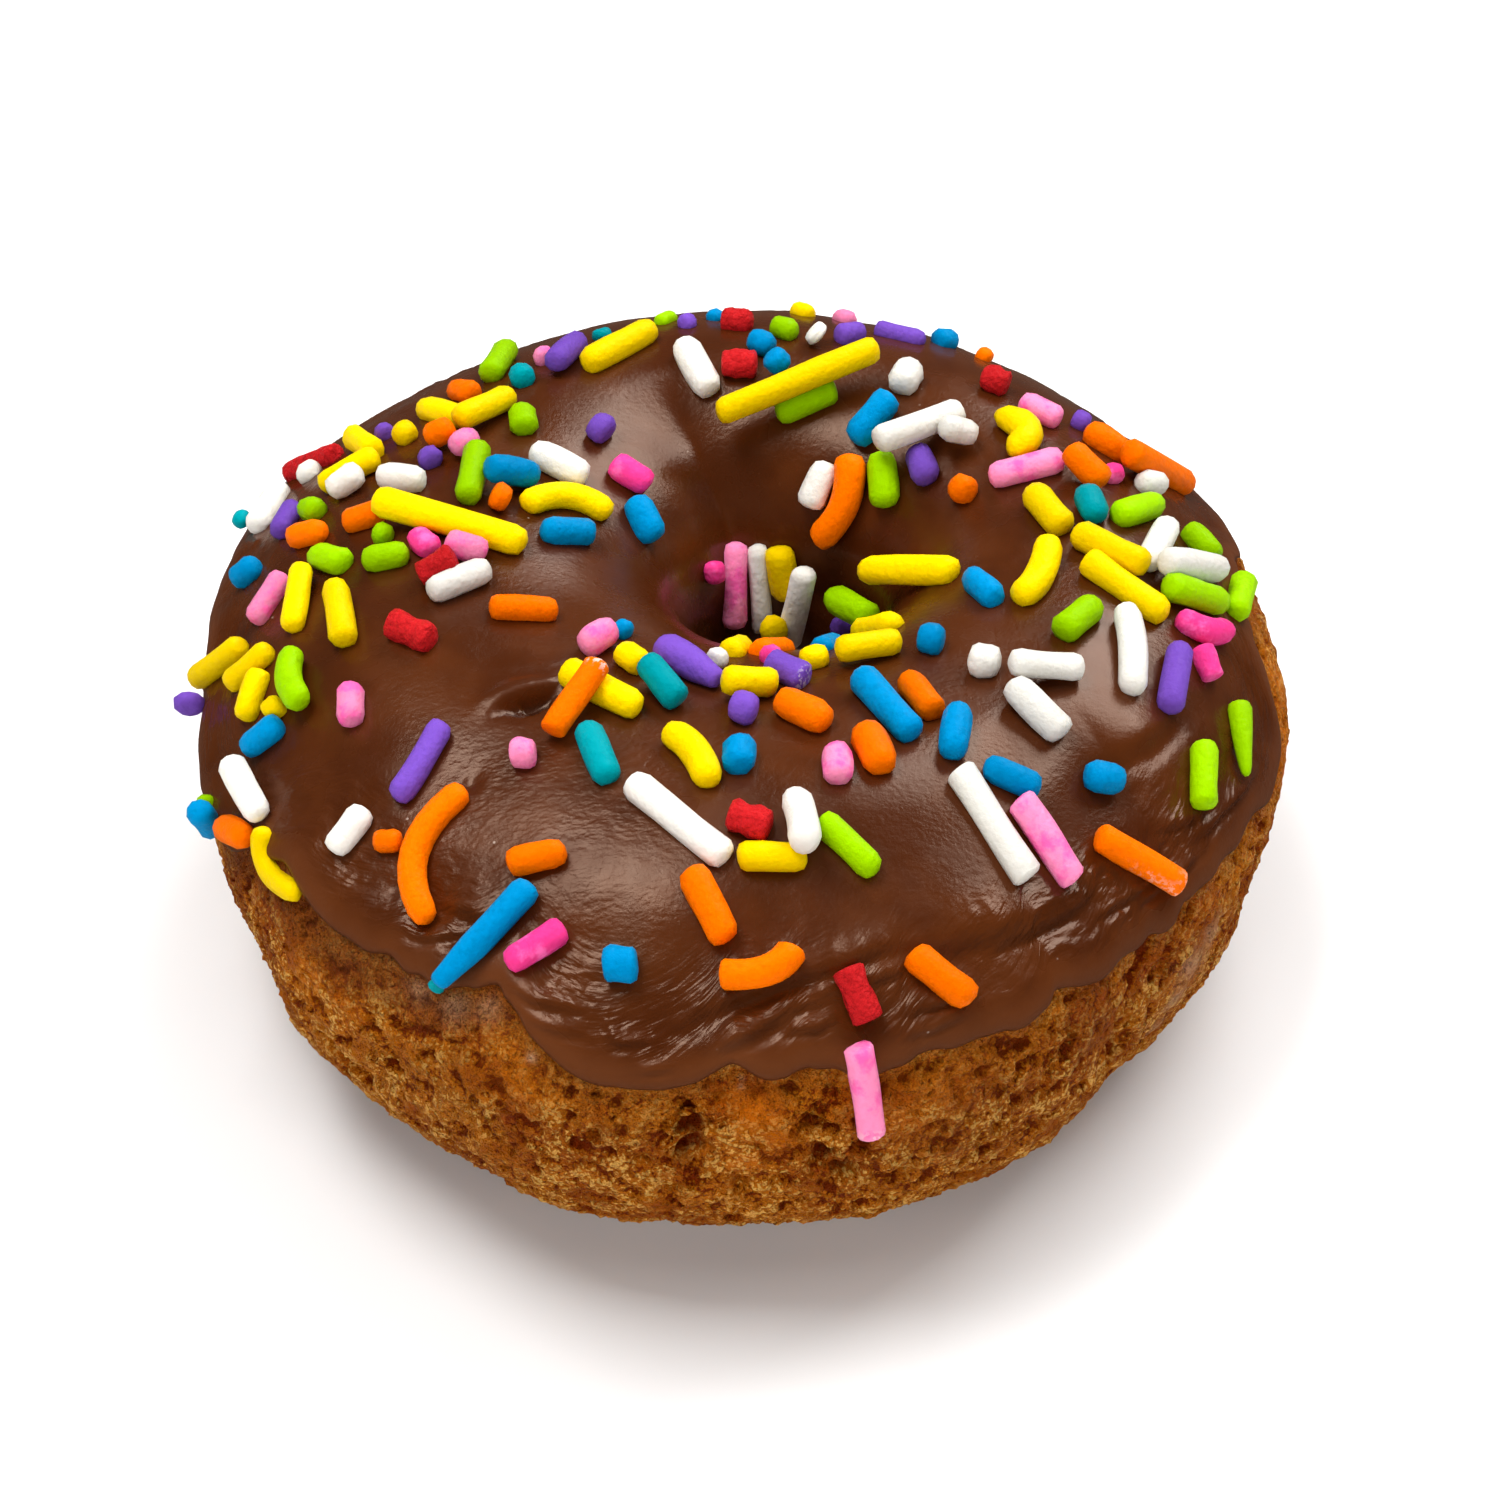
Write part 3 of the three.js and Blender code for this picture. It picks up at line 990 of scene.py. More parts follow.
@dataclass(frozen=True)
class CrumbFinish:
    """Fried cake: a grainy brown crust, golden where it broke open, glaze stains; painted shade darkens
    its pits, pores and the gaps between grains, and a painted highlight lightens grain tops.
    """

    crust: Triple = (0.34, 0.064, 0.0008)
    golden: Triple = (0.54, 0.150, 0.005)
    # crumb: the golden open crumb, also used as a painted highlight on grain tops.
    crumb: Triple = (0.90, 0.49, 0.11)
    # Painted shade colour for pits, pores and the gaps between grains.
    painted_hollow_shade: Triple = (0.165, 0.012, 0.0001)
    caramel: Triple = (0.60, 0.135, 0.001)
    stain: Triple = (0.15, 0.040, 0.010)
    glaze: Triple = (0.52, 0.28, 0.15)
    gleam: Triple = (1.0, 0.62, 0.30)

    def build(self, groups: EffectGroups) -> bpy.types.Material:
        """Make the material.

        Args:
            groups: The shared effects.

        Returns:
            The material.
        """
        finish = Finish("cake_crumb", groups)
        book = finish.book
        caramel, stain = book.attribute("caramel"), book.attribute("stain")
        rough_skin = book.math("SUBTRACT", 1.0, book.times(caramel, 0.75))
        coarse = finish.patches(1.3, 0.34, 0.66, 6.0)
        grain = finish.grain(0.33, 1.2)
        relief = book.plus(book.times(book.attribute("crest"), 1.5), grain)
        open_places = book.times(finish.patches(3.0, 0.36, 0.58), book.attribute("torn"))
        # Painted shade: the low places between grains are darkened.
        gaps = book.times(book.range(relief, 0.52, 0.84, 0.9, 0.0), rough_skin)
        # Grain tops in torn places turn crumb colour: partly the real open crumb, partly a painted
        # highlight on the raised tops.
        open_crumb_and_highlight = book.times(book.range(relief, 1.02, 1.22, 0.0, 0.9), open_places)
        film = book.times(book.attribute("smear"), book.range(grain, 0.5, 1.1, 0.45, 1.0))
        colour = book.coat(
            self.crust,
            (finish.patches(6.0, 0.40, 0.60), self.golden),
            (book.times(coarse, 0.5), self.golden),
            (gaps, self.painted_hollow_shade),
            (open_crumb_and_highlight, self.crumb),
            (book.times(caramel, 0.7), self.caramel),
            (book.times(stain, 0.7), self.stain),
            (film, self.glaze),
            # Painted shade: pits and pores darkened by how deep they are carved.
            (book.range(book.attribute("depth"), 0.25, 1.0, 0.0, 0.9), self.painted_hollow_shade),
        )
        wet = book.times(book.math("MAXIMUM", stain, caramel), -0.28)
        sparkle = book.times(finish.patches(0.5, 0.60, 0.66, 2.0), -0.30)
        rough = book.plus(book.range(coarse, 0.0, 1.0, 0.72, 0.58), wet)
        fine = finish.bump(book.times(grain, rough_skin), 0.42)
        return finish.close(
            Base_Color=colour, Roughness=book.plus(rough, sparkle),
            Normal=finish.bump(coarse, 0.35, fine), Specular_IOR_Level=0.12,
            Specular_Tint=(*self.gleam, 1.0), Subsurface_Weight=0.10,
            Subsurface_Radius=(1.0, 0.40, 0.10), Subsurface_Scale=0.8 * MM,
        )


@dataclass(frozen=True)
class ChocolateFinish:
    """Set chocolate icing: dark and glossy, duller where wrinkled, ruddy where it thins out, with
    painted shade in the slit.
    """

    cocoa: Triple = (0.050, 0.0100, 0.0014)
    milk: Triple = (0.072, 0.0165, 0.0029)
    thin: Triple = (0.15, 0.040, 0.009)
    sugar: Triple = (0.55, 0.45, 0.38)
    # pit: painted shade, the near-black that the drop and floor of the slit are darkened to.
    pit: Triple = (0.018, 0.0032, 0.0005)
    gleam: Triple = (1.0, 0.71, 0.53)
    across_place: Triple = (1.7, 1.0, 1.0)
    along_flow: Triple = (4.5, 4.5, 1.0)

    def build(self, groups: EffectGroups) -> bpy.types.Material:
        """Make the material.

        Args:
            groups: The shared effects.

        Returns:
            The material.
        """
        finish = Finish("chocolate_icing", groups)
        book = finish.book
        thin, worn = book.attribute("thin"), book.attribute("worn")
        crumpled = book.attribute("crumpled")
        dust = book.add("ShaderNodeTexVoronoi", feature="F1")
        book.feed(dust, Vector=finish.place, Scale=1.0 / (1.7 * MM), Randomness=1.0)
        specks = book.range(dust.outputs["Distance"], 0.035, 0.060, 0.7, 0.0)
        colour = book.coat(
            self.cocoa,
            (finish.patches(7.0, 0.35, 0.65), self.milk),
            (book.times(thin, 0.5), self.thin),
            (book.times(specks, finish.patches(5.0, 0.52, 0.62)), self.sugar),
            # Painted shade: the slit's drop and floor are darkened towards pit.
            (book.times(book.attribute("sunken"), 0.85), self.pit),
        )
        satin = book.range(finish.patches(4.0, 0.3, 0.7), 0.0, 1.0, 0.20, 0.28)
        dull = book.plus(book.times(thin, 0.18), book.times(worn, 0.08))
        flow = book.stretched(book.attribute("flow", "Vector"), self.along_flow)
        level = book.stretched(finish.place, self.across_place)
        strokes = book.times(finish.patches(0.34, 0.25, 0.75, 1.5, flow), crumpled)
        creases = book.times(finish.patches(0.42, 0.25, 0.75, 1.5, level), worn)
        fine = finish.bump(finish.patches(0.35, 0.2, 0.8, 3.0), 0.010)
        fine = finish.bump(strokes, 0.050, fine)
        return finish.close(
            Base_Color=colour, Roughness=book.plus(satin, dull),
            Normal=finish.bump(creases, 0.022, fine), Specular_IOR_Level=0.36,
            Specular_Tint=(*self.gleam, 1.0),
        )


@dataclass(frozen=True)
class SugarFinish:
    """A waxed sugar rod of one colour, mottled, with chips that show its white sugar."""

    sugar: Sugar
    colour: Triple
    mottle: float = 0.25
    grit: float = 0.055
    blush: Triple | None = None
    chipped: Triple = (0.92, 0.90, 0.88)

    def build(self, groups: EffectGroups) -> bpy.types.Material:
        """Make the material.

        Args:
            groups: The shared effects.

        Returns:
            The material.
        """
        finish = Finish(f"sugar_{self.sugar.value}", groups)
        book = finish.book
        deep = tuple(channel * 0.82 for channel in self.colour)
        pale = tuple(min(1.0, channel * 1.08) for channel in self.colour)
        darker = tuple(channel * 0.62 for channel in self.colour)
        coats = [
            (book.range(book.attribute("tint"), 0.0, 1.0), pale),
            (book.times(finish.patches(0.5, 0.48, 0.72, 4.0), self.mottle), darker),
        ]
        if self.blush is not None:
            coats.append((finish.patches(1.6, 0.46, 0.66, 4.0), self.blush))
        chips = book.times(book.attribute("chip"), finish.patches(0.35, 0.52, 0.55, 4.0))
        colour = book.coat(deep, *coats, (chips, self.chipped))
        return finish.close(
            Base_Color=colour, Roughness=book.range(finish.patches(0.8, 0.3, 0.7), 0, 1, 0.34, 0.48),
            Normal=finish.bump(finish.grain(0.5, 1.0), self.grit), Specular_IOR_Level=0.10,
            Specular_Tint=(*pale, 1.0), Subsurface_Weight=0.15,
            Subsurface_Radius=(1.0, 0.8, 0.6), Subsurface_Scale=0.5 * MM,
        )


@dataclass(frozen=True)
class FloorFinish:
    """Plain pale board with the faintest mottle."""

    pale: Triple = (0.86, 0.86, 0.86)
    shade: Triple = (0.84, 0.84, 0.84)

    def build(self, groups: EffectGroups) -> bpy.types.Material:
        """Make the material, with the shared effects, and return it."""
        finish = Finish("pale_floor", groups)
        colour = finish.book.coat(self.pale, (finish.patches(40.0, 0.3, 0.7), self.shade))
        return finish.close(Base_Color=colour, Roughness=0.8)


# ---- dough


@dataclass(frozen=True)
class Crack:
    """A crack that runs up the dough's side."""

    path: tuple[Pixel, ...]
    width: float
    depth: float


@dataclass
class Dough:
    """The cake ring: porous on its bare side, smooth where the icing hides it."""

    form: RingForm
    edge: IcingEdge
    caster: RingCaster
    around: int = 640
    rows: int = 154
    icing_seat: float = 1.9
    seat_taper: float = 4.5
    belt_low: float = math.radians(-78)
    hidden_margin: float = math.radians(7)
    hole_low: float = math.radians(242)
    crowding: float = 0.45
    ragged_size: float = 0.7
    raggedness: float = 0.7
    seed: int = 11
    pores: int = 70
    pore_shade: float = 0.42
    pore_top: float = math.radians(15)
    pore_radii: Pair = (0.25, 0.6)
    pore_depths: Pair = (0.8, 1.4)
    foot: float = 2.5
    torn_belt: Pair = (1.5, 6.0)
    stained_side: EdgeWave = EdgeWave(-135, 1.0, 26)
    row_marks: tuple[float, ...] = (0.0, 0.68, 0.76, 0.88, 1.0)
    pits: tuple[Spot, ...] = (
        Spot(693, 1132, 0.75, 1.5), Spot(690, 1155, 0.9, 1.3), Spot(722, 1098, 0.3, 0.5),
        Spot(813, 1130, 0.7, 1.3), Spot(824, 1162, 0.8, 1.5), Spot(843, 1176, 0.85, 1.6),
        Spot(776, 1184, 0.5, 0.9), Spot(740, 1190, 0.45, 0.8), Spot(674, 1190, 0.4, 0.7),
        Spot(594, 1137, 0.4, 0.6), Spot(985, 1150, 0.5, 0.8), Spot(1000, 1128, 0.4, 0.6),
        Spot(860, 1150, 0.4, 0.7), Spot(545, 1060, 0.35, 0.5), Spot(1075, 1036, 0.4, 0.7),
        Spot(370, 1022, 0.35, 0.6), Spot(640, 1165, 0.45, 0.7), Spot(905, 1172, 0.45, 0.8),
        Spot(1104, 1072, 0.6, 1.2), Spot(1122, 1068, 0.5, 1.0),
    )
    cracks: tuple[Crack, ...] = (
        Crack(line_of(318, 1035, 345, 1065, 372, 1085, 392, 1092), 0.55, 1.1),
        Crack(line_of(372, 1020, 388, 1060, 392, 1092), 0.45, 0.55),
        Crack(line_of(1122, 1032, 1117, 1055, 1106, 1078), 1.2, 1.6),
        Crack(line_of(1150, 985, 1175, 962, 1198, 940), 0.5, 0.5),
        Crack(line_of(800, 1120, 815, 1150, 850, 1180, 890, 1195), 0.5, 0.6),
        Crack(line_of(705, 1095, 690, 1130, 700, 1165), 0.45, 0.5),
        Crack(line_of(1085, 1020, 1062, 1062, 1040, 1100), 0.45, 0.5),
    )
    bulges: tuple[Spot, ...] = (
        Spot(1276, 700, 4.5, -0.2), Spot(1279, 760, 4.5, -0.25),
    )
    caramel: tuple[Spot, ...] = (
        Spot(752, 1118, 1.6, 0.9), Spot(775, 1140, 1.3, 0.7), Spot(745, 1165, 1.2, 0.6),
        Spot(905, 1118, 2.2, 0.55), Spot(955, 1098, 1.8, 0.45), Spot(520, 1075, 2.0, 0.35),
        Spot(305, 975, 2.2, 0.45), Spot(345, 1010, 1.6, 0.4), Spot(1278, 690, 2.5, 0.7),
        Spot(1280, 750, 2.5, 0.7), Spot(1210, 900, 1.5, 0.4), Spot(1122, 1045, 0.8, 0.8),
    )
    smears: tuple[Spot, ...] = (
        Spot(284, 848, 1.0, 0.45), Spot(292, 870, 0.8, 0.4), Spot(420, 985, 1.0, 0.6),
        Spot(455, 1003, 1.1, 0.6), Spot(487, 1008, 0.9, 0.5), Spot(1195, 965, 1.4, 0.8),
        Spot(1214, 935, 1.2, 0.7), Spot(1176, 1000, 1.1, 0.8), Spot(1156, 1030, 0.9, 0.6),
        Spot(531, 1058, 0.3, 1.0), Spot(742, 1079, 0.18, 0.8), Spot(741, 1086, 0.18, 0.7),
    )
    # Spots where the bare side is made darker; they go into the stain.
    darker_spots: tuple[Spot, ...] = (
        Spot(950, 1120, 6.0, 0.34), Spot(470, 1075, 6.0, 0.26), Spot(1085, 1040, 4.0, 0.26),
        Spot(610, 1110, 3.5, 0.30),
    )

    def _turns(self, azimuth: np.ndarray, share: np.ndarray) -> np.ndarray:
        """Spread the rows: most on the bare belt, few under the icing.

        Args:
            azimuth: The vertices' azimuths.
            share: How far round the section each vertex's row is, from 0 to 1.

        Returns:
            The vertices' turns.
        """
        start = self.edge.start(azimuth) + self.hidden_margin
        end = self.edge.end(azimuth) - self.hidden_margin
        low = np.full(azimuth.shape, self.belt_low)
        marks = self.row_marks
        stops = np.stack([low, start, end, np.full(azimuth.shape, self.hole_low), low + 2 * math.pi])
        turn = np.empty(azimuth.shape)
        for index in range(len(marks) - 1):
            inside = (share >= marks[index]) & (share <= marks[index + 1])
            part = (share - marks[index]) / (marks[index + 1] - marks[index])
            blend = stops[index] + (stops[index + 1] - stops[index]) * part
            turn = np.where(inside, blend, turn)
        return turn

    def _bare(self, azimuth: np.ndarray, turn: np.ndarray) -> np.ndarray:
        """Work out how bare each place is.

        Args:
            azimuth: The places' azimuths.
            turn: Their turns.

        Returns:
            Numbers from 0 under the icing to 1 clear of it.
        """
        wrapped = wrap(turn)
        outer = self.form.section_length(self.edge.start(azimuth) - wrapped)
        turned = turn % (2 * math.pi)
        inner = self.form.section_length(turned - self.edge.end(azimuth))
        on_shoulder = ramp(outer, -0.2, 1.2) * (np.abs(wrapped) < math.pi * 0.62)
        in_hole = ramp(inner, -0.2, 1.5) * (turned < math.radians(300)) * (turned > math.pi * 0.9)
        return np.maximum(on_shoulder, in_hole)

    def _seat(self, azimuth: np.ndarray, turn: np.ndarray) -> np.ndarray:
        """Return how far the icing presses the dough in at each place."""
        depth = self.edge.inside(azimuth, turn % (2 * math.pi))
        return self.icing_seat * ramp(depth, 0.0, self.seat_taper)

    def _carve(self, points: np.ndarray) -> np.ndarray:
        """Work out how deep the cracks, pits and pores are at each point.

        Args:
            points: The dough's points, one row each.

        Returns:
            The depths, in millimetres.
        """
        depth = np.zeros(len(points))
        unevenness = np.array([noise.noise(row) for row in points / self.ragged_size])
        ragged = 1.0 + self.raggedness * unevenness
        for crack in self.cracks:
            path = self.caster.cast_path(crack.path)
            if len(path) > 1:
                distance, _, along = path_distance(points, path)
                distance = distance * ragged
                ends = 0.35 + 0.65 * np.sin(np.pi * np.clip(along, 0.0, 1.0))
                depth = np.maximum(depth, crack.depth * ends * bell(distance, crack.width))
        for pit in self.pits:
            depth = np.maximum(depth, self.caster.fading(points, pit, ragged))
        draw = random.Random(self.seed)
        for _ in range(self.pores):
            azimuth = draw.uniform(-math.pi, math.pi)
            turn = draw.uniform(self.belt_low, self.pore_top)
            place = self.form.point(np.array(azimuth), np.array(turn))
            radius = draw.uniform(*self.pore_radii)
            distance = np.linalg.norm(points - place, axis=1) * ragged
            deepest = radius * draw.uniform(*self.pore_depths)
            depth = np.maximum(depth, deepest * bell(distance, radius))
        for bulge in self.bulges:
            depth = depth + self.caster.fading(points, bulge)
        return depth

    def build(self, material: bpy.types.Material) -> bpy.types.Object:
        """Model the dough.

        Args:
            material: Its finish.

        Returns:
            The finished piece.
        """
        ring = RingMesh("dough_ring", self.around, self.rows, self.crowding)
        azimuth, turn = ring.azimuth, self._turns(ring.azimuth, ring.share)
        bare = self._bare(azimuth, turn)
        smooth = self.form.lifted(azimuth, turn, -self._seat(azimuth, turn))
        write_points(ring.piece, smooth)
        above_ground = ramp(smooth[:, 2], 0.0, self.foot)
        carved = self._carve(smooth) * bare * above_ground
        write_points(ring.piece, smooth - read_normals(ring.piece) * carved[:, None])

        most = self.caster.most
        smooth_skin = np.clip(most(smooth, self.caramel) + most(smooth, self.smears), 0, 1)
        ring.weigh("bare", bare * (0.25 + 0.75 * above_ground) * (1 - 0.5 * smooth_skin))
        ring.weigh("open", bare * above_ground * (1 - 0.85 * smooth_skin))
        ring.displace(cloud_texture("lumps", 5.5), 0.9, 0.55, "bare")
        level = read_points(ring.piece)
        ring.displace(pit_texture("holes", 1.3, 0.32, 0.42), 0.4, 1.0, "open")
        ring.displace(cloud_texture("clumps", 1.9, 3), 0.45, 0.5, "open")
        ring.displace(cloud_texture("crumbs", 0.8, 4), 0.55, 0.5, "bare")
        ring.displace(cloud_texture("grains", 0.7, 1, "VORONOI_F1"), -0.32, 0.25, "open")
        points = read_points(ring.piece)
        outward = self.form.normal(azimuth, turn)
        crest = row_products(points - level, outward)
        points[:, 2] = np.maximum(points[:, 2], 0.0)
        write_points(ring.piece, points)

        sunk = row_products(smooth - points, outward)
        wrapped = wrap(turn)
        below_edge = self.form.section_length(self.edge.start(azimuth) - wrapped)
        left = self.stained_side.at(azimuth)
        near_icing = (1.0 - ramp(below_edge, 1.5 * left, 2.5 + 4.0 * left)) \
            * (np.abs(wrapped) < math.pi * 0.6)
        # The stain is the band under the icing's edge, together with the darker spots.
        stain = np.maximum(near_icing * (0.45 + 0.55 * left), most(points, self.darker_spots))
        ring.keep(
            crest=crest,
            torn=0.35 + 0.65 * ramp(below_edge, *self.torn_belt),
            # Painted shade: how deep each pit and pore is carved, for the finish to darken.
            depth=np.clip(sunk - self.pore_shade, 0.0, 1.0) * bare,
            stain=np.clip(stain, 0.0, 1.0),
            caramel=most(points, self.caramel) * bare,
            smear=most(points, self.smears) * bare,
        )
        finish_piece(ring.piece, material, ("dough",))
        return ring.piece


# ---- icing


@dataclass(frozen=True)
class Fold:
    """A flow fold in the icing: a ridge with a crease on its lower side, and a gentle back."""

    path: tuple[Pixel, ...]
    width: float
    height: float
    crease: float = 0.6
    back: float = 1.7


@dataclass
class Icing:
    """The chocolate cap: lobed at its edge, folded on its skirt, running into the hole."""

    form: RingForm
    edge: IcingEdge
    caster: RingCaster
    around: int = 660
    rows: int = 150
    crowding: float = 0.34
    top_share: float = 0.94
    thickness: float = 1.6
    thin_edge: Pair = (0.3, 2.8)
    clearance: float = 0.3
    lip: float = 0.62
    lip_thins: EdgeWave = EdgeWave(-4, -0.27, 20)
    lip_width: float = 1.2
    taper: float = 4.5
    valley_azimuth: float = 112.0
    valley_widths: Pair = (13.0, 14.0)
    valley_depth: float = 1.1
    valley_top: Pair = (92.0, 122.0)
    valley_foot: Pair = (155.0, 175.0)
    crease_width: float = 4.0
    crease_depth: float = 0.16
    skirt_from: Pair = (1.2, 2.8)
    skirt_to: Pair = (5.5, 9.5)
    streak_stretch: Triple = (3.6, 3.6, 0.75)
    streak_height: float = 0.07
    streaked_side: EdgeWave = EdgeWave(-32, 0.06, 32)
    slant: float = 0.45
    easing: float = 0.35
    fold_front: float = 0.45
    crease_place: float = 0.95
    crease_share: float = 0.4
    slit_width: float = 0.9
    folds: tuple[Fold, ...] = (
        Fold(line_of(681, 1022, 721, 1001, 781, 977, 841, 962), 0.80, 0.52, 0.9),
        Fold(line_of(712, 1046, 745, 1034, 775, 1016, 793, 1004, 823, 995), 0.70, 0.46, 0.7),
        Fold(line_of(779, 1030, 815, 1027, 842, 1014), 0.40, 0.30),
        Fold(line_of(835, 966, 865, 952, 898, 940), 0.70, 0.34),
        Fold(line_of(871, 982, 885, 975, 902, 970), 0.40, 0.34, 0.9),
        Fold(line_of(901, 1013, 937, 1002, 970, 989), 0.45, 0.30),
        Fold(line_of(898, 1036, 926, 1028, 963, 1013), 0.35, 0.20),
        Fold(line_of(604, 1018, 618, 1042, 650, 1040), 0.45, 0.28),
        Fold(line_of(638, 1071, 676, 1066), 0.28, 0.16),
        Fold(line_of(887, 944, 976, 930, 1034, 910, 1085, 880), 1.5, 0.35),
        Fold(line_of(980, 966, 996, 947, 1035, 930, 1069, 913, 1088, 896, 1093, 874, 1108, 860),
             0.45, 0.32, 0.35, 4.5),
        Fold(line_of(1090, 918, 1131, 893, 1160, 868), 0.45, 0.26),
        Fold(line_of(1130, 905, 1170, 876, 1200, 845), 0.45, 0.22),
        Fold(line_of(1103, 751, 1140, 735, 1170, 705), 1.6, 0.35),
        Fold(line_of(1188, 842, 1197, 834, 1216, 812, 1240, 788, 1252, 764), 0.55, 0.34),
        Fold(line_of(1150, 830, 1185, 822, 1215, 800), 0.40, 0.22),
        Fold(line_of(404, 930, 430, 938, 470, 930), 0.45, 0.26),
        Fold(line_of(440, 900, 470, 910, 500, 925), 0.70, 0.28),
        Fold(line_of(475, 770, 465, 790), 0.60, -0.25, 0.0),
        Fold(line_of(512, 985, 540, 1002, 590, 1012), 0.45, 0.28),
        Fold(line_of(530, 1020, 560, 1030, 590, 1034), 0.38, 0.20),
    )
    crumples: tuple[Spot, ...] = (
        Spot(1105, 905, 1.6, 0.08), Spot(1037, 937, 1.2, 0.08), Spot(990, 922, 2.2, 0.06),
        Spot(700, 1012, 1.3, 0.06), Spot(805, 1015, 1.5, 0.11), Spot(885, 960, 1.5, 0.09),
        Spot(1140, 772, 1.1, 0.08), Spot(1176, 832, 1.7, 0.09), Spot(405, 932, 1.6, 0.12),
        Spot(335, 875, 1.8, 0.09), Spot(610, 1030, 1.0, 0.12), Spot(645, 1040, 1.3, 0.09),
        Spot(565, 985, 1.5, 0.15), Spot(455, 915, 1.5, 0.15), Spot(735, 1036, 1.2, 0.08),
        Spot(1080, 868, 1.1, 0.06), Spot(918, 1020, 1.4, 0.15),
    )
    hollows: tuple[Spot, ...] = (
        Spot(1105, 790, 3.0, 0.35), Spot(1050, 850, 3.5, 0.25), Spot(700, 880, 3.5, -0.18),
        Spot(860, 770, 4.0, -0.15), Spot(470, 760, 4.0, 0.25), Spot(580, 950, 3.0, 0.20),
        Spot(820, 600, 2.5, 0.30), Spot(430, 900, 2.2, 0.25),
    )
    slit: tuple[Pixel, ...] = line_of(
        480, 716, 488, 705, 500, 697, 515, 691, 532, 687, 552, 684, 574, 686)
    slit_levels: tuple[Pair, ...] = (
        (-3.4, 0.0), (-2.4, 0.16), (-1.6, 0.05), (-1.1, 0.12), (-0.5, 0.34), (0.0, 0.36),
        (0.3, 0.22), (0.9, -0.95), (1.3, -1.3), (1.7, -1.2), (2.2, -0.35), (2.7, -0.04), (3.2, 0.0),
    )
    gather: float = 0.7
    gather_reach: Pair = (6.0, 4.5)
    wrinkled: tuple[Spot, ...] = (
        Spot(560, 830, 5.5, 1.0), Spot(610, 800, 5.5, 1.0), Spot(520, 790, 5.5, 1.0),
    )

    def _turns(self, azimuth: np.ndarray, share: np.ndarray) -> tuple[np.ndarray, np.ndarray]:
        """Spread the rows over the top and then back along the underside.

        Args:
            azimuth: The vertices' azimuths.
            share: How far round the section each vertex's row is, from 0 to 1.

        Returns:
            The vertices' turns, and whether each is on the underside.
        """
        start, end = self.edge.start(azimuth), self.edge.end(azimuth)
        under = share > self.top_share
        top_part = np.clip(share / self.top_share, 0.0, 1.0)
        eased = top_part - self.easing * np.sin(2 * math.pi * top_part) / (2 * math.pi)
        back_part = (1.0 - share) / (1.0 - self.top_share)
        part = np.where(under, np.clip(back_part, 0.0, 1.0), eased)
        turn = start + (end - start) * part
        opening = self.caster.cast(self.slit[len(self.slit) // 2])
        past = turn - opening.turn
        around = np.radians(degrees_apart(azimuth, math.degrees(opening.azimuth)))
        east = around * math.hypot(opening.place[0], opening.place[1])
        near = bell(east, self.gather_reach[0]) \
            * bell(self.form.section_length(past), self.gather_reach[1])
        return np.where(under, turn, turn - self.gather * near * past), under

    def _lip_height(self, azimuth: np.ndarray, depth: np.ndarray) -> np.ndarray:
        """Work out the height of the rounded lip.

        Args:
            azimuth: The vertices' azimuths.
            depth: Their distances from the icing's edge.

        Returns:
            The heights above the ring.
        """
        lip = self.lip + self.lip_thins.at(azimuth)
        across = np.clip(depth / self.lip_width, 0.0, 1.0)
        round_over = np.sqrt(1.0 - (1.0 - across) ** 2)
        fading = 1.0 - ramp(depth, self.lip_width, self.taper)
        return self.clearance + (lip - self.clearance) * round_over * fading \
            - self.clearance * (1.0 - fading)

    def _folding(self, points: np.ndarray, downhill: np.ndarray) -> np.ndarray:
        """Work out the relief of the folds and hollows.

        Args:
            points: The icing's points, one row each.
            downhill: The direction towards the outer edge at each point.

        Returns:
            The relief's height at each point.
        """
        relief = np.zeros(len(points))
        for fold in self.folds:
            path = self.caster.cast_path(fold.path)
            if len(path) < 2:
                continue
            distance, offset, along = path_distance(points, path)
            lower = row_products(offset, downhill)
            ends = np.sin(np.pi * np.clip(along, 0.02, 0.98)) ** 0.6
            beside = np.sqrt(np.maximum(distance ** 2 - lower ** 2, 0.0))
            slope = np.where(lower > 0, self.fold_front, fold.back) * fold.width
            ridge = bell(lower, slope) * bell(beside, fold.width)
            crease = bell(lower - self.crease_place * fold.width, self.crease_share * fold.width) \
                * bell(beside, fold.width)
            relief += fold.height * ends * (ridge - fold.crease * crease)
        for hollow in self.hollows:
            relief -= self.caster.fading(points, hollow)
        return relief

    def _eyelid(self, points: np.ndarray) -> np.ndarray:
        """Work out the slit on the left: a ridge, a drop below it and its far rim.

        Args:
            points: The icing's points, one row each.

        Returns:
            The relief's height at each point.
        """
        path = self.caster.cast_path(self.slit)
        distance, offset, along = path_distance(points, path)
        ends = np.sin(np.pi * np.clip(along, 0.0, 1.0)) ** 0.7
        beside = np.sqrt(np.maximum(distance ** 2 - offset[:, 1] ** 2, 0.0))
        scale = 0.35 + 0.65 * ends
        lower, height = zip(*self.slit_levels)
        return ends * bell(beside, self.slit_width) * np.interp(-offset[:, 1] / scale, lower, height)

    def _valley(self, azimuth: np.ndarray, turn: np.ndarray) -> np.ndarray:
        """Return the depth of the valley that runs down the far wall of the hole."""
        down = np.degrees(turn)
        beside = degrees_apart(azimuth, self.valley_azimuth)
        hollow = self.valley_depth * bell(beside, np.where(beside < 0, *self.valley_widths))
        crease = self.crease_depth * bell(beside, self.crease_width)
        return (hollow + crease) * ramp(down, *self.valley_top) * (1.0 - ramp(down, *self.valley_foot))

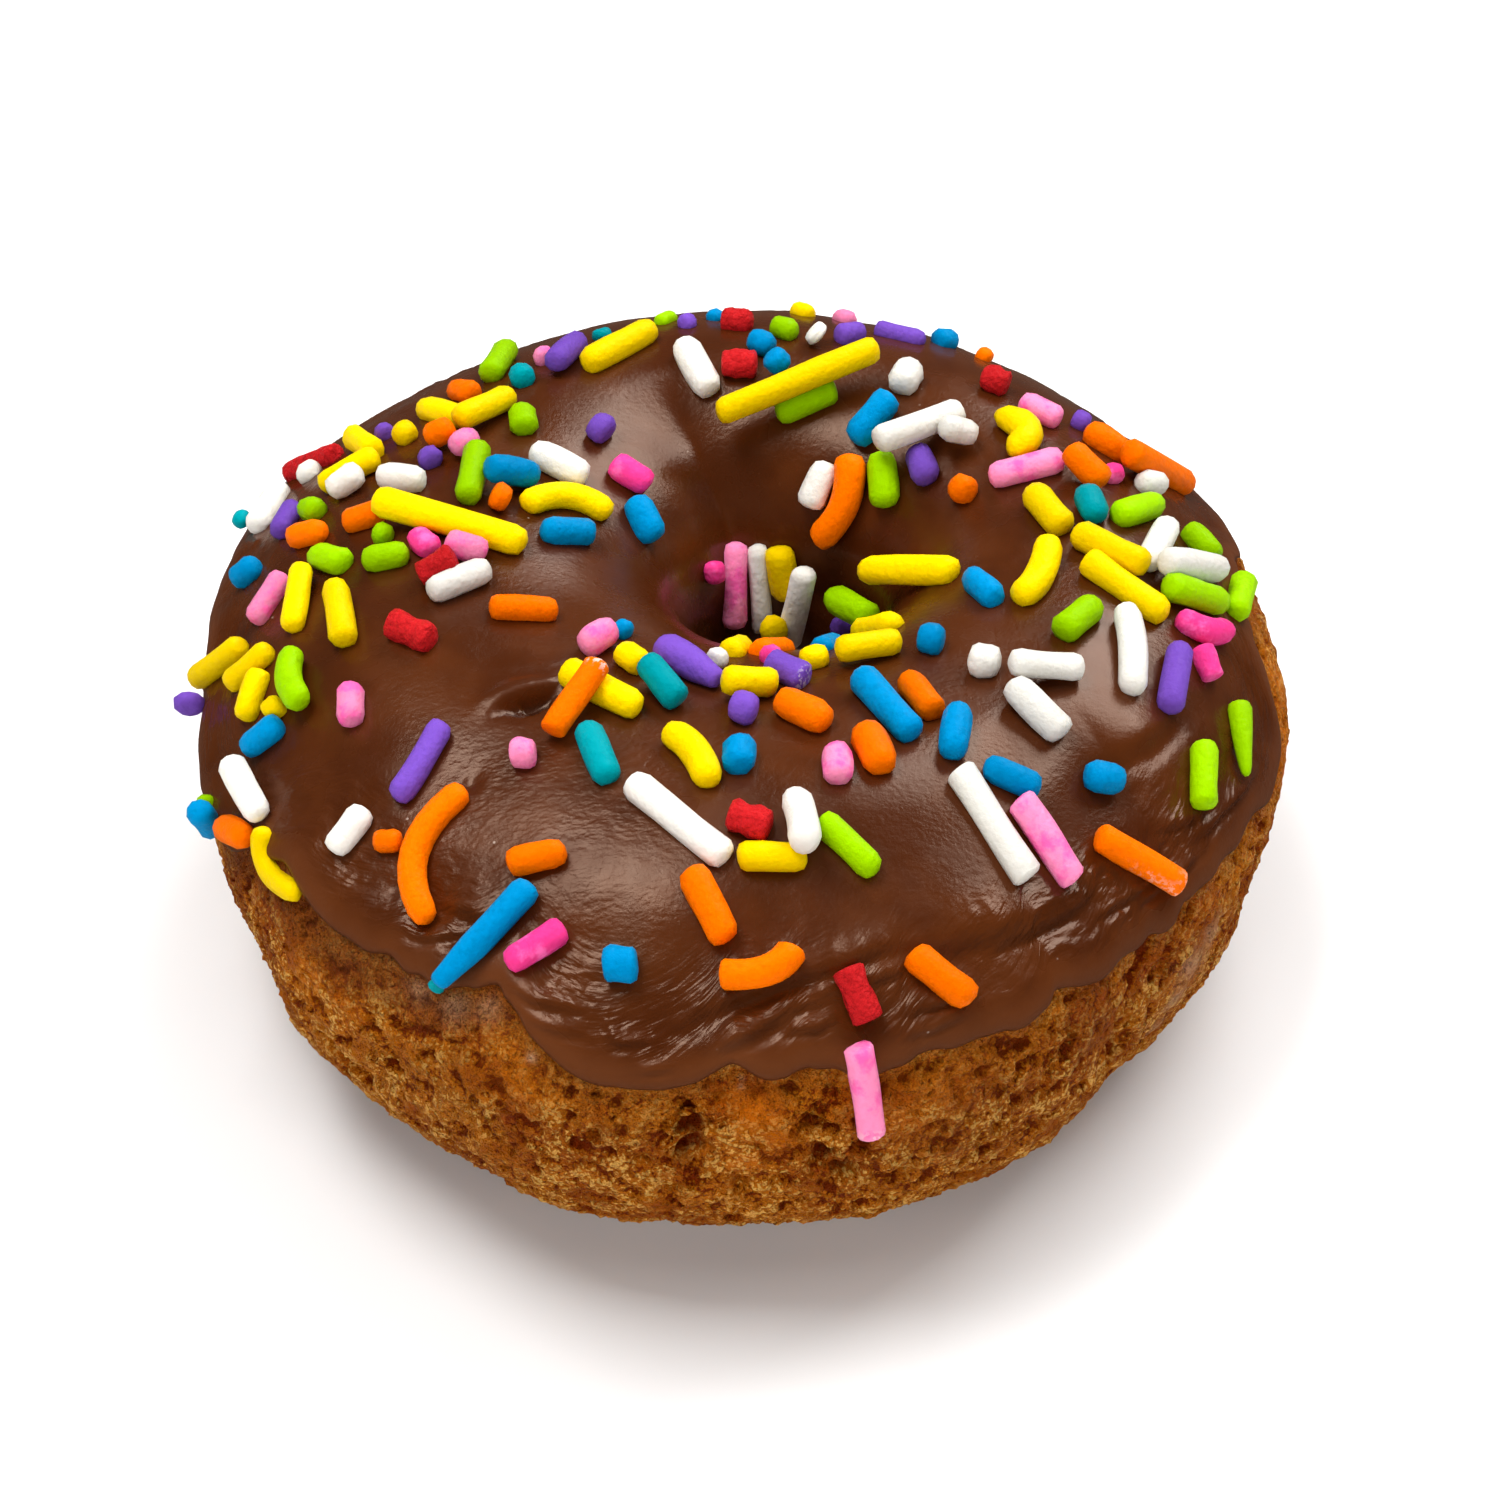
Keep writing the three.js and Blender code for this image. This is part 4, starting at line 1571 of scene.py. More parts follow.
    def _flow(self, azimuth: np.ndarray, depth: np.ndarray) -> np.ndarray:
        """Return each point's place along and across the way that the icing flowed.

        Args:
            azimuth: The vertices' azimuths.
            depth: Their distances from the icing's edge.

        Returns:
            A place in millimetres for each, the third number across the flow.
        """
        reach = self.form.outer_radius
        across = depth - self.slant * reach * np.cos(azimuth)
        return np.stack([np.cos(azimuth) * reach, np.sin(azimuth) * reach, across], axis=-1)

    def _streaks(self, flow: np.ndarray) -> np.ndarray:
        """Work out the fine ridges that the flow drew out.

        Args:
            flow: The places along and across the flow.

        Returns:
            The height of the ridges, from 0 to 1.
        """
        rows = flow / np.array(self.streak_stretch)
        waves = np.array([noise.fractal(row, 0.8, 2.2, 3) for row in rows])
        return np.clip(1.0 - np.abs(waves) * 2.2, 0.0, 1.0) ** 2

    def build(self, material: bpy.types.Material) -> bpy.types.Object:
        """Model the icing.

        Args:
            material: Its finish.

        Returns:
            The finished piece.
        """
        ring = RingMesh("icing_cap", self.around, self.rows, self.crowding)
        azimuth = ring.azimuth
        turn, under = self._turns(azimuth, ring.share)
        depth = self.edge.inside(azimuth, turn)
        points = self.form.point(azimuth, turn)
        _, along = self.form.tangents(azimuth, turn)
        valley = self._valley(azimuth, turn)
        shown = ramp(depth, 0.1, 0.9)
        skirt = ramp(depth, *self.skirt_from) * (1.0 - ramp(depth, *self.skirt_to)) \
            * (turn < math.pi / 2)
        flow = self._flow(azimuth, depth)
        ridges = self._streaks(flow)
        crumpled = sum(self.caster.fading(points, patch) for patch in self.crumples)
        rise = self.streak_height + self.streaked_side.at(azimuth)
        streaks = ridges * (rise * skirt + crumpled)
        slit = self._eyelid(points)
        relief = (self._folding(points, -along) + slit + streaks) * shown
        sunk = self.clearance - (self.thickness + self.clearance) * ramp(depth, 0.0, self.taper)
        height = np.where(under, sunk, self._lip_height(azimuth, depth) + relief) - valley
        write_points(ring.piece, self.form.lifted(azimuth, turn, height))

        wrinkled = self.caster.most(points, self.wrinkled)
        top = np.where(under, 0.0, 1.0)
        ring.weigh("top", top * ramp(depth, 0.4, 2.5))
        ring.weigh("skirt", top * skirt)
        ring.weigh("wrinkled", top * wrinkled)
        ring.displace(cloud_texture("swell", 11.0, 1), 0.55, 0.5, "top")
        ring.displace(cloud_texture("bands", 3.6, 2), 0.30, 0.5, "skirt")
        ring.displace(cloud_texture("wrinkles", 1.5, 3, hard=True), 0.085, 0.4, "wrinkled")

        ring.keep(
            flow=flow * MM,
            # Painted shade: how far down into the slit each point lies, for the finish to darken.
            sunken=top * ramp(-slit, 0.1, 0.9),
            thin=top * (1.0 - ramp(depth, *self.thin_edge)),
            worn=np.clip(wrinkled + 0.15, 0.0, 1.0) * top,
            crumpled=top * np.clip(0.42 * skirt + 6.0 * crumpled, 0.0, 1.0),
        )
        finish_piece(ring.piece, material, ("icing",))
        return ring.piece


# ---- sugar rods


@dataclass(frozen=True)
class Rod:
    """One sugar rod as it lies in the camera frame: its tip, its tail and its width in pixels."""

    sugar: Sugar
    tip_x: float
    tip_y: float
    tail_x: float
    tail_y: float
    width: float
    form: RodForm = ROUND
    bend: Pixel | None = None
    chips: float = 0.0

    @property
    def tip(self) -> Pixel:
        """The pixel of its tip."""
        return Pixel(self.tip_x, self.tip_y)

    @property
    def tail(self) -> Pixel:
        """The pixel of its tail."""
        return Pixel(self.tail_x, self.tail_y)

    @property
    def plain(self) -> bool:
        """Whether it is straight and round."""
        return self.bend is None and self.form is ROUND


@dataclass
class Placed:
    """A rod in its place: the line through its middle, and the way up, in millimetres."""

    rod: Rod
    tip: np.ndarray
    middle: np.ndarray
    tail: np.ndarray
    upward: np.ndarray
    radius: float

    def line(self, shares: np.ndarray) -> np.ndarray:
        """Return places along the middle line, which bends through its middle point."""
        share = np.asarray(shares, float)[:, None]
        pull = 2.0 * self.middle - (self.tip + self.tail) / 2
        return (1 - share) ** 2 * self.tip + 2 * share * (1 - share) * pull + share ** 2 * self.tail

    def shorten(self, amount: float) -> None:
        """Pull both ends in by an amount, but leave the rod at least as long as it is thick."""
        length = float(np.linalg.norm(self.tail - self.tip))
        share = min(amount / length, max(0.0, 0.5 - 0.7 * self.radius / length))
        step = (self.tail - self.tip) * share
        self.tip, self.tail = self.tip + step, self.tail - step

    def shift(self, tip: np.ndarray, tail: np.ndarray) -> None:
        """Move both ends, and the middle by half of each."""
        self.tip = self.tip + tip
        self.tail = self.tail + tail
        self.middle = self.middle + (tip + tail) / 2


@dataclass
class RodShape:
    """A rod that sugar rods are copied from, two wide and along Z, its ends blunt and round."""

    sides: int = 10
    rings: int = 2
    rounding: float = 0.6
    body: float = 1.0
    chipped_side: Triple = (0.0, -0.94, -0.34)
    blunt_ends: Pair = (0.18, 0.36)
    round_ends: Pair = (0.5, 0.9)
    pointed_end: float = 0.35
    tilts: Pair = (-0.12, 0.12)
    cut_tilts: Pair = (0.08, 0.2)
    most_oval: float = 0.05
    step: float = 0.02
    piece: bpy.types.Object = field(init=False)

    def __post_init__(self) -> None:
        """Model it: a cylinder with rounded rims, and rings to bend at."""
        bpy.ops.mesh.primitive_cylinder_add(
            vertices=self.sides, radius=1.0, depth=2 * (self.body + self.rounding),
            end_fill_type="NGON",
        )
        self.piece = bpy.context.active_object
        self.piece.name = "rod_shape"
        self._round_rims()
        self._cut_rings()

    def _round_rims(self) -> None:
        """Bevel the edges of both ends into quarter rounds."""
        with edit_mode("DESELECT"):
            bpy.ops.mesh.select_mode(type="EDGE")
        mesh = self.piece.data
        for edge in mesh.edges:
            heights = [mesh.vertices[index].co.z for index in edge.vertices]
            edge.select = abs(heights[0] - heights[1]) < 1e-4
        bpy.ops.object.mode_set(mode="EDIT")
        bpy.ops.mesh.bevel(offset=self.rounding, segments=2, profile=0.5, affect="EDGES")
        bpy.ops.object.mode_set(mode="OBJECT")

    def _cut_rings(self) -> None:
        """Cut rings across the straight part, for the bends."""
        with edit_mode():
            for height in np.linspace(-self.body, self.body, self.rings + 2)[1:-1]:
                bpy.ops.mesh.bisect(plane_co=(0.0, 0.0, float(height)), plane_no=(0.0, 0.0, 1.0))
                bpy.ops.mesh.select_all(action="SELECT")
            bpy.ops.mesh.normals_make_consistent(inside=False)

    def copy_to(self, laid: Placed, number: int, draw: random.Random) -> bpy.types.Object:
        """Copy the rod and bend it into its place.

        Args:
            laid: Where it lies and how it is shaped.
            number: Its number, for its name.
            draw: The seeded draws of its unevenness.

        Returns:
            The copy, in millimetres.
        """
        form = laid.rod.form
        copy = bpy.data.objects.new(f"rod_{number}", self.piece.data.copy())
        bpy.context.collection.objects.link(copy)
        local = read_points(copy)
        angle = np.arctan2(local[:, 1], local[:, 0])
        half = float(np.linalg.norm(laid.tail - laid.tip)) / 2
        rounds = self.blunt_ends if form in (CUT, CRUMBLY) else self.round_ends
        ends = [min(laid.radius * draw.uniform(*rounds), half * 0.6) for _ in range(2)]
        if form is POINTED:
            ends[0] = laid.radius * self.pointed_end
        cap = np.where(local[:, 2] > 0, ends[0], ends[1])
        beyond = np.clip((np.abs(local[:, 2]) - self.body) / self.rounding, 0.0, 1.0)
        straight = np.clip(local[:, 2] / self.body, -1.0, 1.0)
        reach = straight * (half - cap) + np.sign(local[:, 2]) * beyond * cap
        tilt = draw.uniform(*(self.cut_tilts if form is CUT else self.tilts))
        reach = reach + tilt * local[:, 0] * laid.radius * (np.abs(reach) / half) ** 4
        share = 0.5 + reach / (2 * half)
        swell = self._swelling(form, angle, share, draw)

        line = laid.line(share)
        ahead = unit(laid.line(share + self.step) - laid.line(share - self.step))
        side = unit(np.cross(ahead, laid.upward))
        upward = np.cross(side, ahead)
        oval = draw.uniform(-self.most_oval, self.most_oval)
        wide = (local[:, 0] * (1 + oval) * swell * laid.radius)[:, None]
        tall = (local[:, 1] * (1 - oval) * swell * laid.radius)[:, None]
        out = side * wide + upward * tall
        write_points(copy, line + out)
        lower_side = ramp(unit(out) @ np.array(self.chipped_side), 0.75, 0.97)
        chip = laid.rod.chips * (lower_side * ramp(share, 0.35, 0.6) + ramp(share, 0.90, 0.98))
        keep_attribute(copy, "tint", np.full(len(local), draw.random()))
        keep_attribute(copy, "chip", np.clip(chip, 0.0, 1.0))
        return copy

    def _swelling(
        self, form: RodForm, angle: np.ndarray, share: np.ndarray, draw: random.Random
    ) -> np.ndarray:
        """Work out how a rod's thickness varies.

        Args:
            form: How it is shaped.
            angle: Each vertex's angle round it.
            share: How far along it each vertex is, from 0 to 1.
            draw: The seeded draws.

        Returns:
            The thickness at each vertex, as a share of the rod's radius.
        """
        phase = [draw.uniform(0, 2 * math.pi) for _ in range(4)]
        swell = 1.0 + 0.03 * np.sin(6 * share + phase[0]) + 0.02 * np.sin(2 * angle + phase[1])
        swell += 0.03 * np.sin(3 * angle + 7 * share + phase[2])
        if form is CRUMBLY:
            swell += 0.04 * np.sin(2 * angle + 11 * share + phase[3])
            swell += 0.04 * np.sin(4 * angle - 15 * share + phase[1])
        if form is POINTED:
            swell *= 1.0 - 0.36 * ramp(share, 0.55, 1.0)
        if form is WEDGE:
            swell *= 1.08 - 0.66 * share
        if form is BONE:
            swell *= 0.86 + 0.17 * (2 * np.abs(share - 0.5)) ** 2
        return swell


@dataclass
class RodLayer:
    """Lays the sugar rods on the icing, each where the camera sees it."""

    camera: ShotCamera
    icing: bpy.types.Object
    dough: bpy.types.Object
    fullness: float = 0.94
    sink: float = 0.34
    least_facing: float = 0.35
    near: float = 12.0
    nesting: float = 0.88
    lift_step: float = 0.15
    most_lift: float = 3.2
    inmost: Pixel = Pixel(742, 700)
    most_inward: int = 60
    most_outward: int = 14
    longest: float = 6.0
    foreshortened: float = 1.3
    draw_in_step: float = 0.1
    seed: int = 20
    placed: list[Placed] = field(default_factory=list)

    def __post_init__(self) -> None:
        """Make the surface that rays meet, in millimetres."""
        points, faces = [], []
        for piece in (self.icing, self.dough):
            start = len(points)
            points.extend((read_points(piece) / MM).tolist())
            faces.extend([index + start for index in face.vertices] for face in piece.data.polygons)
        self.cover = BVHTree.FromPolygons(points, faces)

    def _land(self, pixel: Pixel, width: float) -> tuple[np.ndarray, np.ndarray, float]:
        """Find where the middle line of a rod is, under a pixel.

        The ray is followed to the icing and back until it is a rod's height above it. A pixel
        just outside the doughnut's outline takes the nearest place on the outline, moved out by
        what the rod stands proud.

        Args:
            pixel: The place in the frame.
            width: The rod's width, in pixels.

        Returns:
            The place, the way up there, and the rod's radius.
        """
        start = Vector(self.camera.position)
        inward = np.array(self.inmost) - np.array(pixel)
        inward = inward / np.linalg.norm(inward)
        for step in range(0, self.most_inward, 2):
            ray = self.camera.ray(Pixel(*(np.array(pixel) + inward * step)))
            place, normal, _, _ = self.cover.ray_cast(start, Vector(ray))
            if place is None:
                continue
            place, normal = np.array(place), np.array(normal)
            radius = self.camera.size_of_pixels(place, width) / 2 * self.fullness
            if step == 0:
                facing = max(self.least_facing, float(-(ray @ normal)))
                return place - ray * ((radius - self.sink) / facing), normal, radius
            out = -inward * self.camera.size_of_pixels(place, min(step, self.most_outward))
            return place + np.array([out[0], 0.0, 0.0]) - self.camera.up * out[1], normal, radius
        raise ValueError(f"no icing near {pixel}")

    def _lay(self, rod: Rod) -> None:
        """Put a rod where the camera sees it, resting on what lies there already.

        Args:
            rod: The rod as it lies in the frame.
        """
        tip, up_tip, radius = self._land(rod.tip, rod.width)
        tail, up_tail, _ = self._land(rod.tail, rod.width)
        tip, tail = self._draw_in(rod, tip, tail)
        middle, upward = (tip + tail) / 2, unit(up_tip + up_tail)
        if rod.bend is not None:
            middle, _, _ = self._land(rod.bend, rod.width)
        laid = Placed(rod, tip, middle, tail, upward, radius)
        laid.shorten(self._end_showing(laid))
        self._clear(laid)
        self.placed.append(laid)

    def _draw_in(self, rod: Rod, tip: np.ndarray, tail: np.ndarray) -> tuple[np.ndarray, np.ndarray]:
        """Bring the farther end nearer where a rod would reach across the hole.

        Args:
            rod: The rod as it lies in the frame.
            tip: Where its tip landed.
            tail: Where its tail landed.

        Returns:
            Both ends, no farther apart than a rod is long.
        """
        seen = self.camera.size_of_pixels(tip, math.dist(rod.tip, rod.tail))
        longest = max(self.longest, self.foreshortened * seen)
        ends = [tip, tail]
        eye = self.camera.position
        far = int(np.linalg.norm(tail - eye) > np.linalg.norm(tip - eye))
        toward = unit(eye - ends[far])
        while np.linalg.norm(ends[0] - ends[1]) > longest:
            ends[far] = ends[far] + toward * self.draw_in_step
        return ends[0], ends[1]

    def _end_showing(self, laid: Placed) -> float:
        """Return by how much a rod's end face shows past the end of its middle line."""
        along = float(unit(laid.tail - laid.tip) @ unit(laid.middle - self.camera.position))
        return 0.5 * laid.radius * abs(along) / max(math.sqrt(1.0 - along * along), 0.5)

    def _gaps(self, laid: Placed, shares: np.ndarray) -> list[tuple[Placed, np.ndarray]]:
        """List the distances between the middle lines of a rod and of each one near it."""
        line = laid.line(shares)
        return [
            (other, np.linalg.norm(line[:, None, :] - other.line(shares)[None, :, :], axis=2))
            for other in self.placed if np.linalg.norm(other.middle - laid.middle) < self.near
        ]

    def _clear(self, laid: Placed) -> None:
        """Lift a rod towards the camera until it lies on the rods under it.

        Args:
            laid: The rod, whose place is changed.
        """
        shares = np.linspace(0.1, 0.9, 7)
        lift = unit(self.camera.position - laid.middle) * self.lift_step * 2
        for _ in range(int(self.most_lift / self.lift_step)):
            worst, place = 0.0, 0.5
            for other, gaps in self._gaps(laid, shares):
                overlap = (laid.radius + other.radius) * self.nesting - gaps.min()
                if overlap > worst:
                    worst, place = overlap, shares[gaps.min(axis=1).argmin()]
            if worst <= 0.0:
                return
            laid.shift(lift * (1 - place), lift * place)

    def build(self, rods: Sequence[Rod], materials: dict[Sugar, bpy.types.Material]) -> None:
        """Lay all rods and join them into one piece for each colour.

        Args:
            rods: The rods that the camera sees, the lower ones first.
            materials: The finish of each colour.
        """
        for rod in rods:
            self._lay(rod)
        plain, supple = RodShape(), RodShape(sides=12, rings=7)
        draw = random.Random(self.seed)
        for sugar in Sugar:
            copies = []
            for number, laid in enumerate(self.placed):
                if laid.rod.sugar is sugar:
                    shape = plain if laid.rod.plain else supple
                    copies.append(shape.copy_to(laid, number, draw))
            select_only(copies[0])
            for copy in copies:
                copy.select_set(True)
            bpy.ops.object.join()
            copies[0].name = copies[0].data.name = f"sprinkles_{sugar.value}"
            finish_piece(copies[0], materials[sugar])
        for shape in (plain, supple):
            bpy.data.objects.remove(shape.piece)


BACK_LEFT_RODS = (
    Rod(GREEN, 511, 342, 486, 380, 27), Rod(TEAL, 516, 366, 528, 386, 27),
    Rod(ORANGE, 448, 388, 480, 395, 26), Rod(PINK, 538, 352, 550, 362, 24),
    Rod(PURPLE, 549, 366, 583, 337, 28), Rod(YELLOW, 417, 406, 470, 420, 28),
    Rod(YELLOW, 455, 420, 513, 394, 28), Rod(GREEN, 520, 403, 526, 435, 29),
    Rod(ORANGE, 425, 441, 454, 424, 28), Rod(YELLOW, 394, 441, 415, 426, 27),
    Rod(PURPLE, 380, 430, 390, 436, 22), Rod(YELLOW, 347, 433, 380, 455, 28),
    Rod(YELLOW, 378, 455, 320, 486, 28), Rod(RED, 285, 475, 342, 452, 25, CRUMBLY),
    Rod(WHITE, 300, 478, 318, 467, 26), Rod(WHITE, 328, 492, 362, 470, 30),
    Rod(WHITE, 374, 475, 428, 481, 30), Rod(PURPLE, 424, 452, 436, 464, 27),
    Rod(PINK, 451, 449, 477, 435, 27), Rod(GREEN, 480, 441, 466, 504, 30),
    Rod(BLUE, 487, 467, 537, 475, 31), Rod(WHITE, 529, 449, 589, 478, 33),
    Rod(ORANGE, 489, 492, 512, 502, 30), Rod(YELLOW, 523, 505, 612, 515, 29, bend=Pixel(567, 495)),
    Rod(BLUE, 538, 530, 597, 533, 31), Rod(GREEN, 299, 507, 325, 512, 28),
    Rod(WHITE, 252, 532, 284, 484, 30), Rod(TEAL, 236, 527, 247, 511, 18),
    Rod(PURPLE, 276, 538, 296, 501, 26), Rod(ORANGE, 286, 538, 329, 530, 29),
    Rod(ORANGE, 342, 524, 385, 510, 29), Rod(GREEN, 376, 531, 390, 538, 26),
    Rod(GREEN, 309, 553, 351, 564, 30), Rod(GREEN, 361, 561, 410, 553, 30),
    Rod(HOT_PINK, 411, 531, 437, 554, 29), Rod(PINK, 443, 541, 489, 553, 30),
    Rod(YELLOW, 371, 498, 529, 544, 33), Rod(RED, 417, 578, 457, 553, 29, CRUMBLY),
    Rod(WHITE, 426, 593, 492, 567, 31), Rod(BLUE, 232, 582, 261, 562, 28),
    Rod(PINK, 253, 624, 285, 573, 28), Rod(YELLOW, 303, 561, 291, 633, 27),
    Rod(YELLOW, 334, 578, 345, 647, 31), Rod(RED, 387, 621, 436, 642, 33, CRUMBLY),
    Rod(ORANGE, 489, 607, 558, 610, 29), Rod(YELLOW, 191, 684, 246, 642, 28),
    Rod(YELLOW, 226, 687, 273, 647, 28), Rod(YELLOW, 244, 722, 261, 668, 28),
    Rod(YELLOW, 264, 716, 284, 701, 27), Rod(GREEN, 294, 645, 302, 707, 29, bend=Pixel(288, 678)),
    Rod(PURPLE, 171, 711, 190, 697, 33), Rod(BLUE, 242, 753, 282, 720, 30),
    Rod(WHITE, 227, 757, 262, 821, 31), Rod(PINK, 350, 682, 351, 728, 31),
    Rod(PURPLE, 443, 721, 394, 801, 29, bend=Pixel(421, 762)), Rod(GREEN, 200, 801, 211, 808, 22),
    Rod(BLUE, 195, 806, 216, 832, 29), Rod(ORANGE, 216, 823, 253, 841, 31),
    Rod(YELLOW, 262, 825, 299, 896, 25, bend=Pixel(268, 868)), Rod(WHITE, 366, 808, 332, 852, 31),
    Rod(ORANGE, 372, 841, 404, 841, 25), Rod(ORANGE, 466, 787, 428, 924, 31, bend=Pixel(414, 853)),
    Rod(PINK, 508, 752, 538, 754, 34, CUT), Rod(ORANGE, 506, 864, 567, 850, 34),
    Rod(TEAL, 447, 975, 433, 990, 19, CUT), Rod(BLUE, 532, 884, 436, 985, 33, POINTED),
    Rod(HOT_PINK, 506, 965, 565, 927, 30),
)

BACK_RODS = (
    Rod(YELLOW, 581, 366, 657, 326, 30), Rod(TEAL, 592, 338, 612, 333, 17),
    Rod(GREEN, 655, 324, 676, 316, 18), Rod(PURPLE, 680, 327, 694, 318, 20),
    Rod(BLUE, 708, 320, 722, 314, 18), Rod(RED, 721, 320, 754, 322, 26, CRUMBLY),
    Rod(WHITE, 680, 338, 713, 396, 33), Rod(RED, 721, 363, 758, 364, 30, CRUMBLY),
    Rod(BLUE, 748, 336, 775, 350, 27), Rod(BLUE, 768, 350, 786, 372, 28),
    Rod(GREEN, 770, 324, 799, 334, 25), Rod(YELLOW, 791, 310, 815, 316, 22),
    Rod(WHITE, 808, 326, 824, 340, 28), Rod(PINK, 834, 316, 855, 323, 22),
    Rod(PURPLE, 834, 337, 866, 331, 25), Rod(PURPLE, 874, 329, 926, 341, 22),
    Rod(BLUE, 932, 340, 958, 340, 26), Rod(GREEN, 775, 414, 837, 387, 32),
    Rod(YELLOW, 716, 414, 879, 347, 31), Rod(WHITE, 914, 360, 898, 393, 34),
    Rod(BLUE, 893, 392, 852, 444, 34), Rod(WHITE, 828, 462, 808, 508, 31),
    Rod(ORANGE, 849, 454, 816, 542, 33, bend=Pixel(845, 502)), Rod(PURPLE, 590, 420, 612, 436, 33),
    Rod(HOT_PINK, 612, 462, 650, 486, 31), Rod(BLUE, 632, 496, 656, 542, 33),
)

BACK_RIGHT_RODS = (
    Rod(ORANGE, 976, 352, 992, 362, 20), Rod(RED, 981, 374, 1010, 386, 30, CRUMBLY),
    Rod(PINK, 1019, 400, 1062, 421, 28), Rod(PURPLE, 1072, 417, 1090, 426, 24),
    Rod(ORANGE, 1085, 428, 1131, 458, 30), Rod(ORANGE, 1125, 449, 1191, 487, 32),
    Rod(YELLOW, 996, 408, 1010, 456, 32, bend=Pixel(1027, 432)), Rod(PINK, 988, 478, 1065, 458, 31),
    Rod(ORANGE, 1065, 445, 1108, 487, 31), Rod(HOT_PINK, 1106, 466, 1120, 482, 25),
    Rod(WHITE, 1134, 483, 1168, 484, 28), Rod(TEAL, 1084, 484, 1099, 524, 30),
    Rod(GREEN, 1111, 518, 1164, 501, 32), Rod(WHITE, 1172, 518, 1144, 570, 29),
    Rod(GREEN, 1185, 526, 1218, 560, 29), Rod(YELLOW, 1074, 532, 1148, 566, 32),
    Rod(YELLOW, 1083, 557, 1168, 618, 33), Rod(WHITE, 1161, 560, 1226, 570, 33),
    Rod(GREEN, 1246, 573, 1235, 620, 28), Rod(GREEN, 1163, 584, 1228, 604, 33),
    Rod(YELLOW, 1028, 487, 1068, 532, 33), Rod(ORANGE, 949, 486, 977, 492, 32),
    Rod(PURPLE, 915, 444, 929, 485, 31), Rod(GREEN, 881, 450, 885, 509, 33),
    Rod(WHITE, 876, 441, 962, 410, 31), Rod(WHITE, 938, 424, 978, 436, 29),
    Rod(YELLOW, 858, 570, 960, 570, 31), Rod(BLUE, 965, 572, 1001, 603, 31),
    Rod(YELLOW, 1050, 533, 1014, 601, 32, bend=Pixel(1040, 575)), Rod(GREEN, 1057, 636, 1099, 600, 34),
    Rod(WHITE, 1124, 601, 1132, 695, 32, bend=Pixel(1133, 650)),
    Rod(HOT_PINK, 1174, 614, 1231, 630, 29, bend=Pixel(1205, 630)),
    Rod(PURPLE, 1181, 642, 1169, 714, 31), Rod(HOT_PINK, 1200, 645, 1214, 681, 27, CUT),
    Rod(GREEN, 1238, 699, 1247, 779, 27, WEDGE), Rod(GREEN, 1204, 739, 1204, 811, 31),
)

HOLE_RODS = (
    Rod(PINK, 736, 541, 734, 630, 28), Rod(HOT_PINK, 713, 560, 716, 585, 24),
    Rod(WHITE, 757, 543, 763, 634, 24), Rod(YELLOW, 777, 545, 789, 602, 32),
    Rod(WHITE, 806, 567, 787, 648, 27), Rod(YELLOW, 768, 628, 780, 632, 31),
    Rod(WHITE, 769, 641, 795, 646, 17), Rod(YELLOW, 728, 653, 745, 646, 29),
    Rod(WHITE, 711, 662, 724, 655, 25), Rod(ORANGE, 752, 652, 792, 650, 30),
    Rod(HOT_PINK, 764, 658, 778, 654, 25), Rod(BLUE, 818, 650, 836, 642, 26),
    Rod(GREEN, 826, 594, 878, 622, 33), Rod(PURPLE, 833, 632, 850, 622, 25),
    Rod(YELLOW, 798, 661, 830, 654, 27), Rod(YELLOW, 853, 634, 902, 622, 29),
    Rod(YELLOW, 836, 650, 901, 640, 31),
)

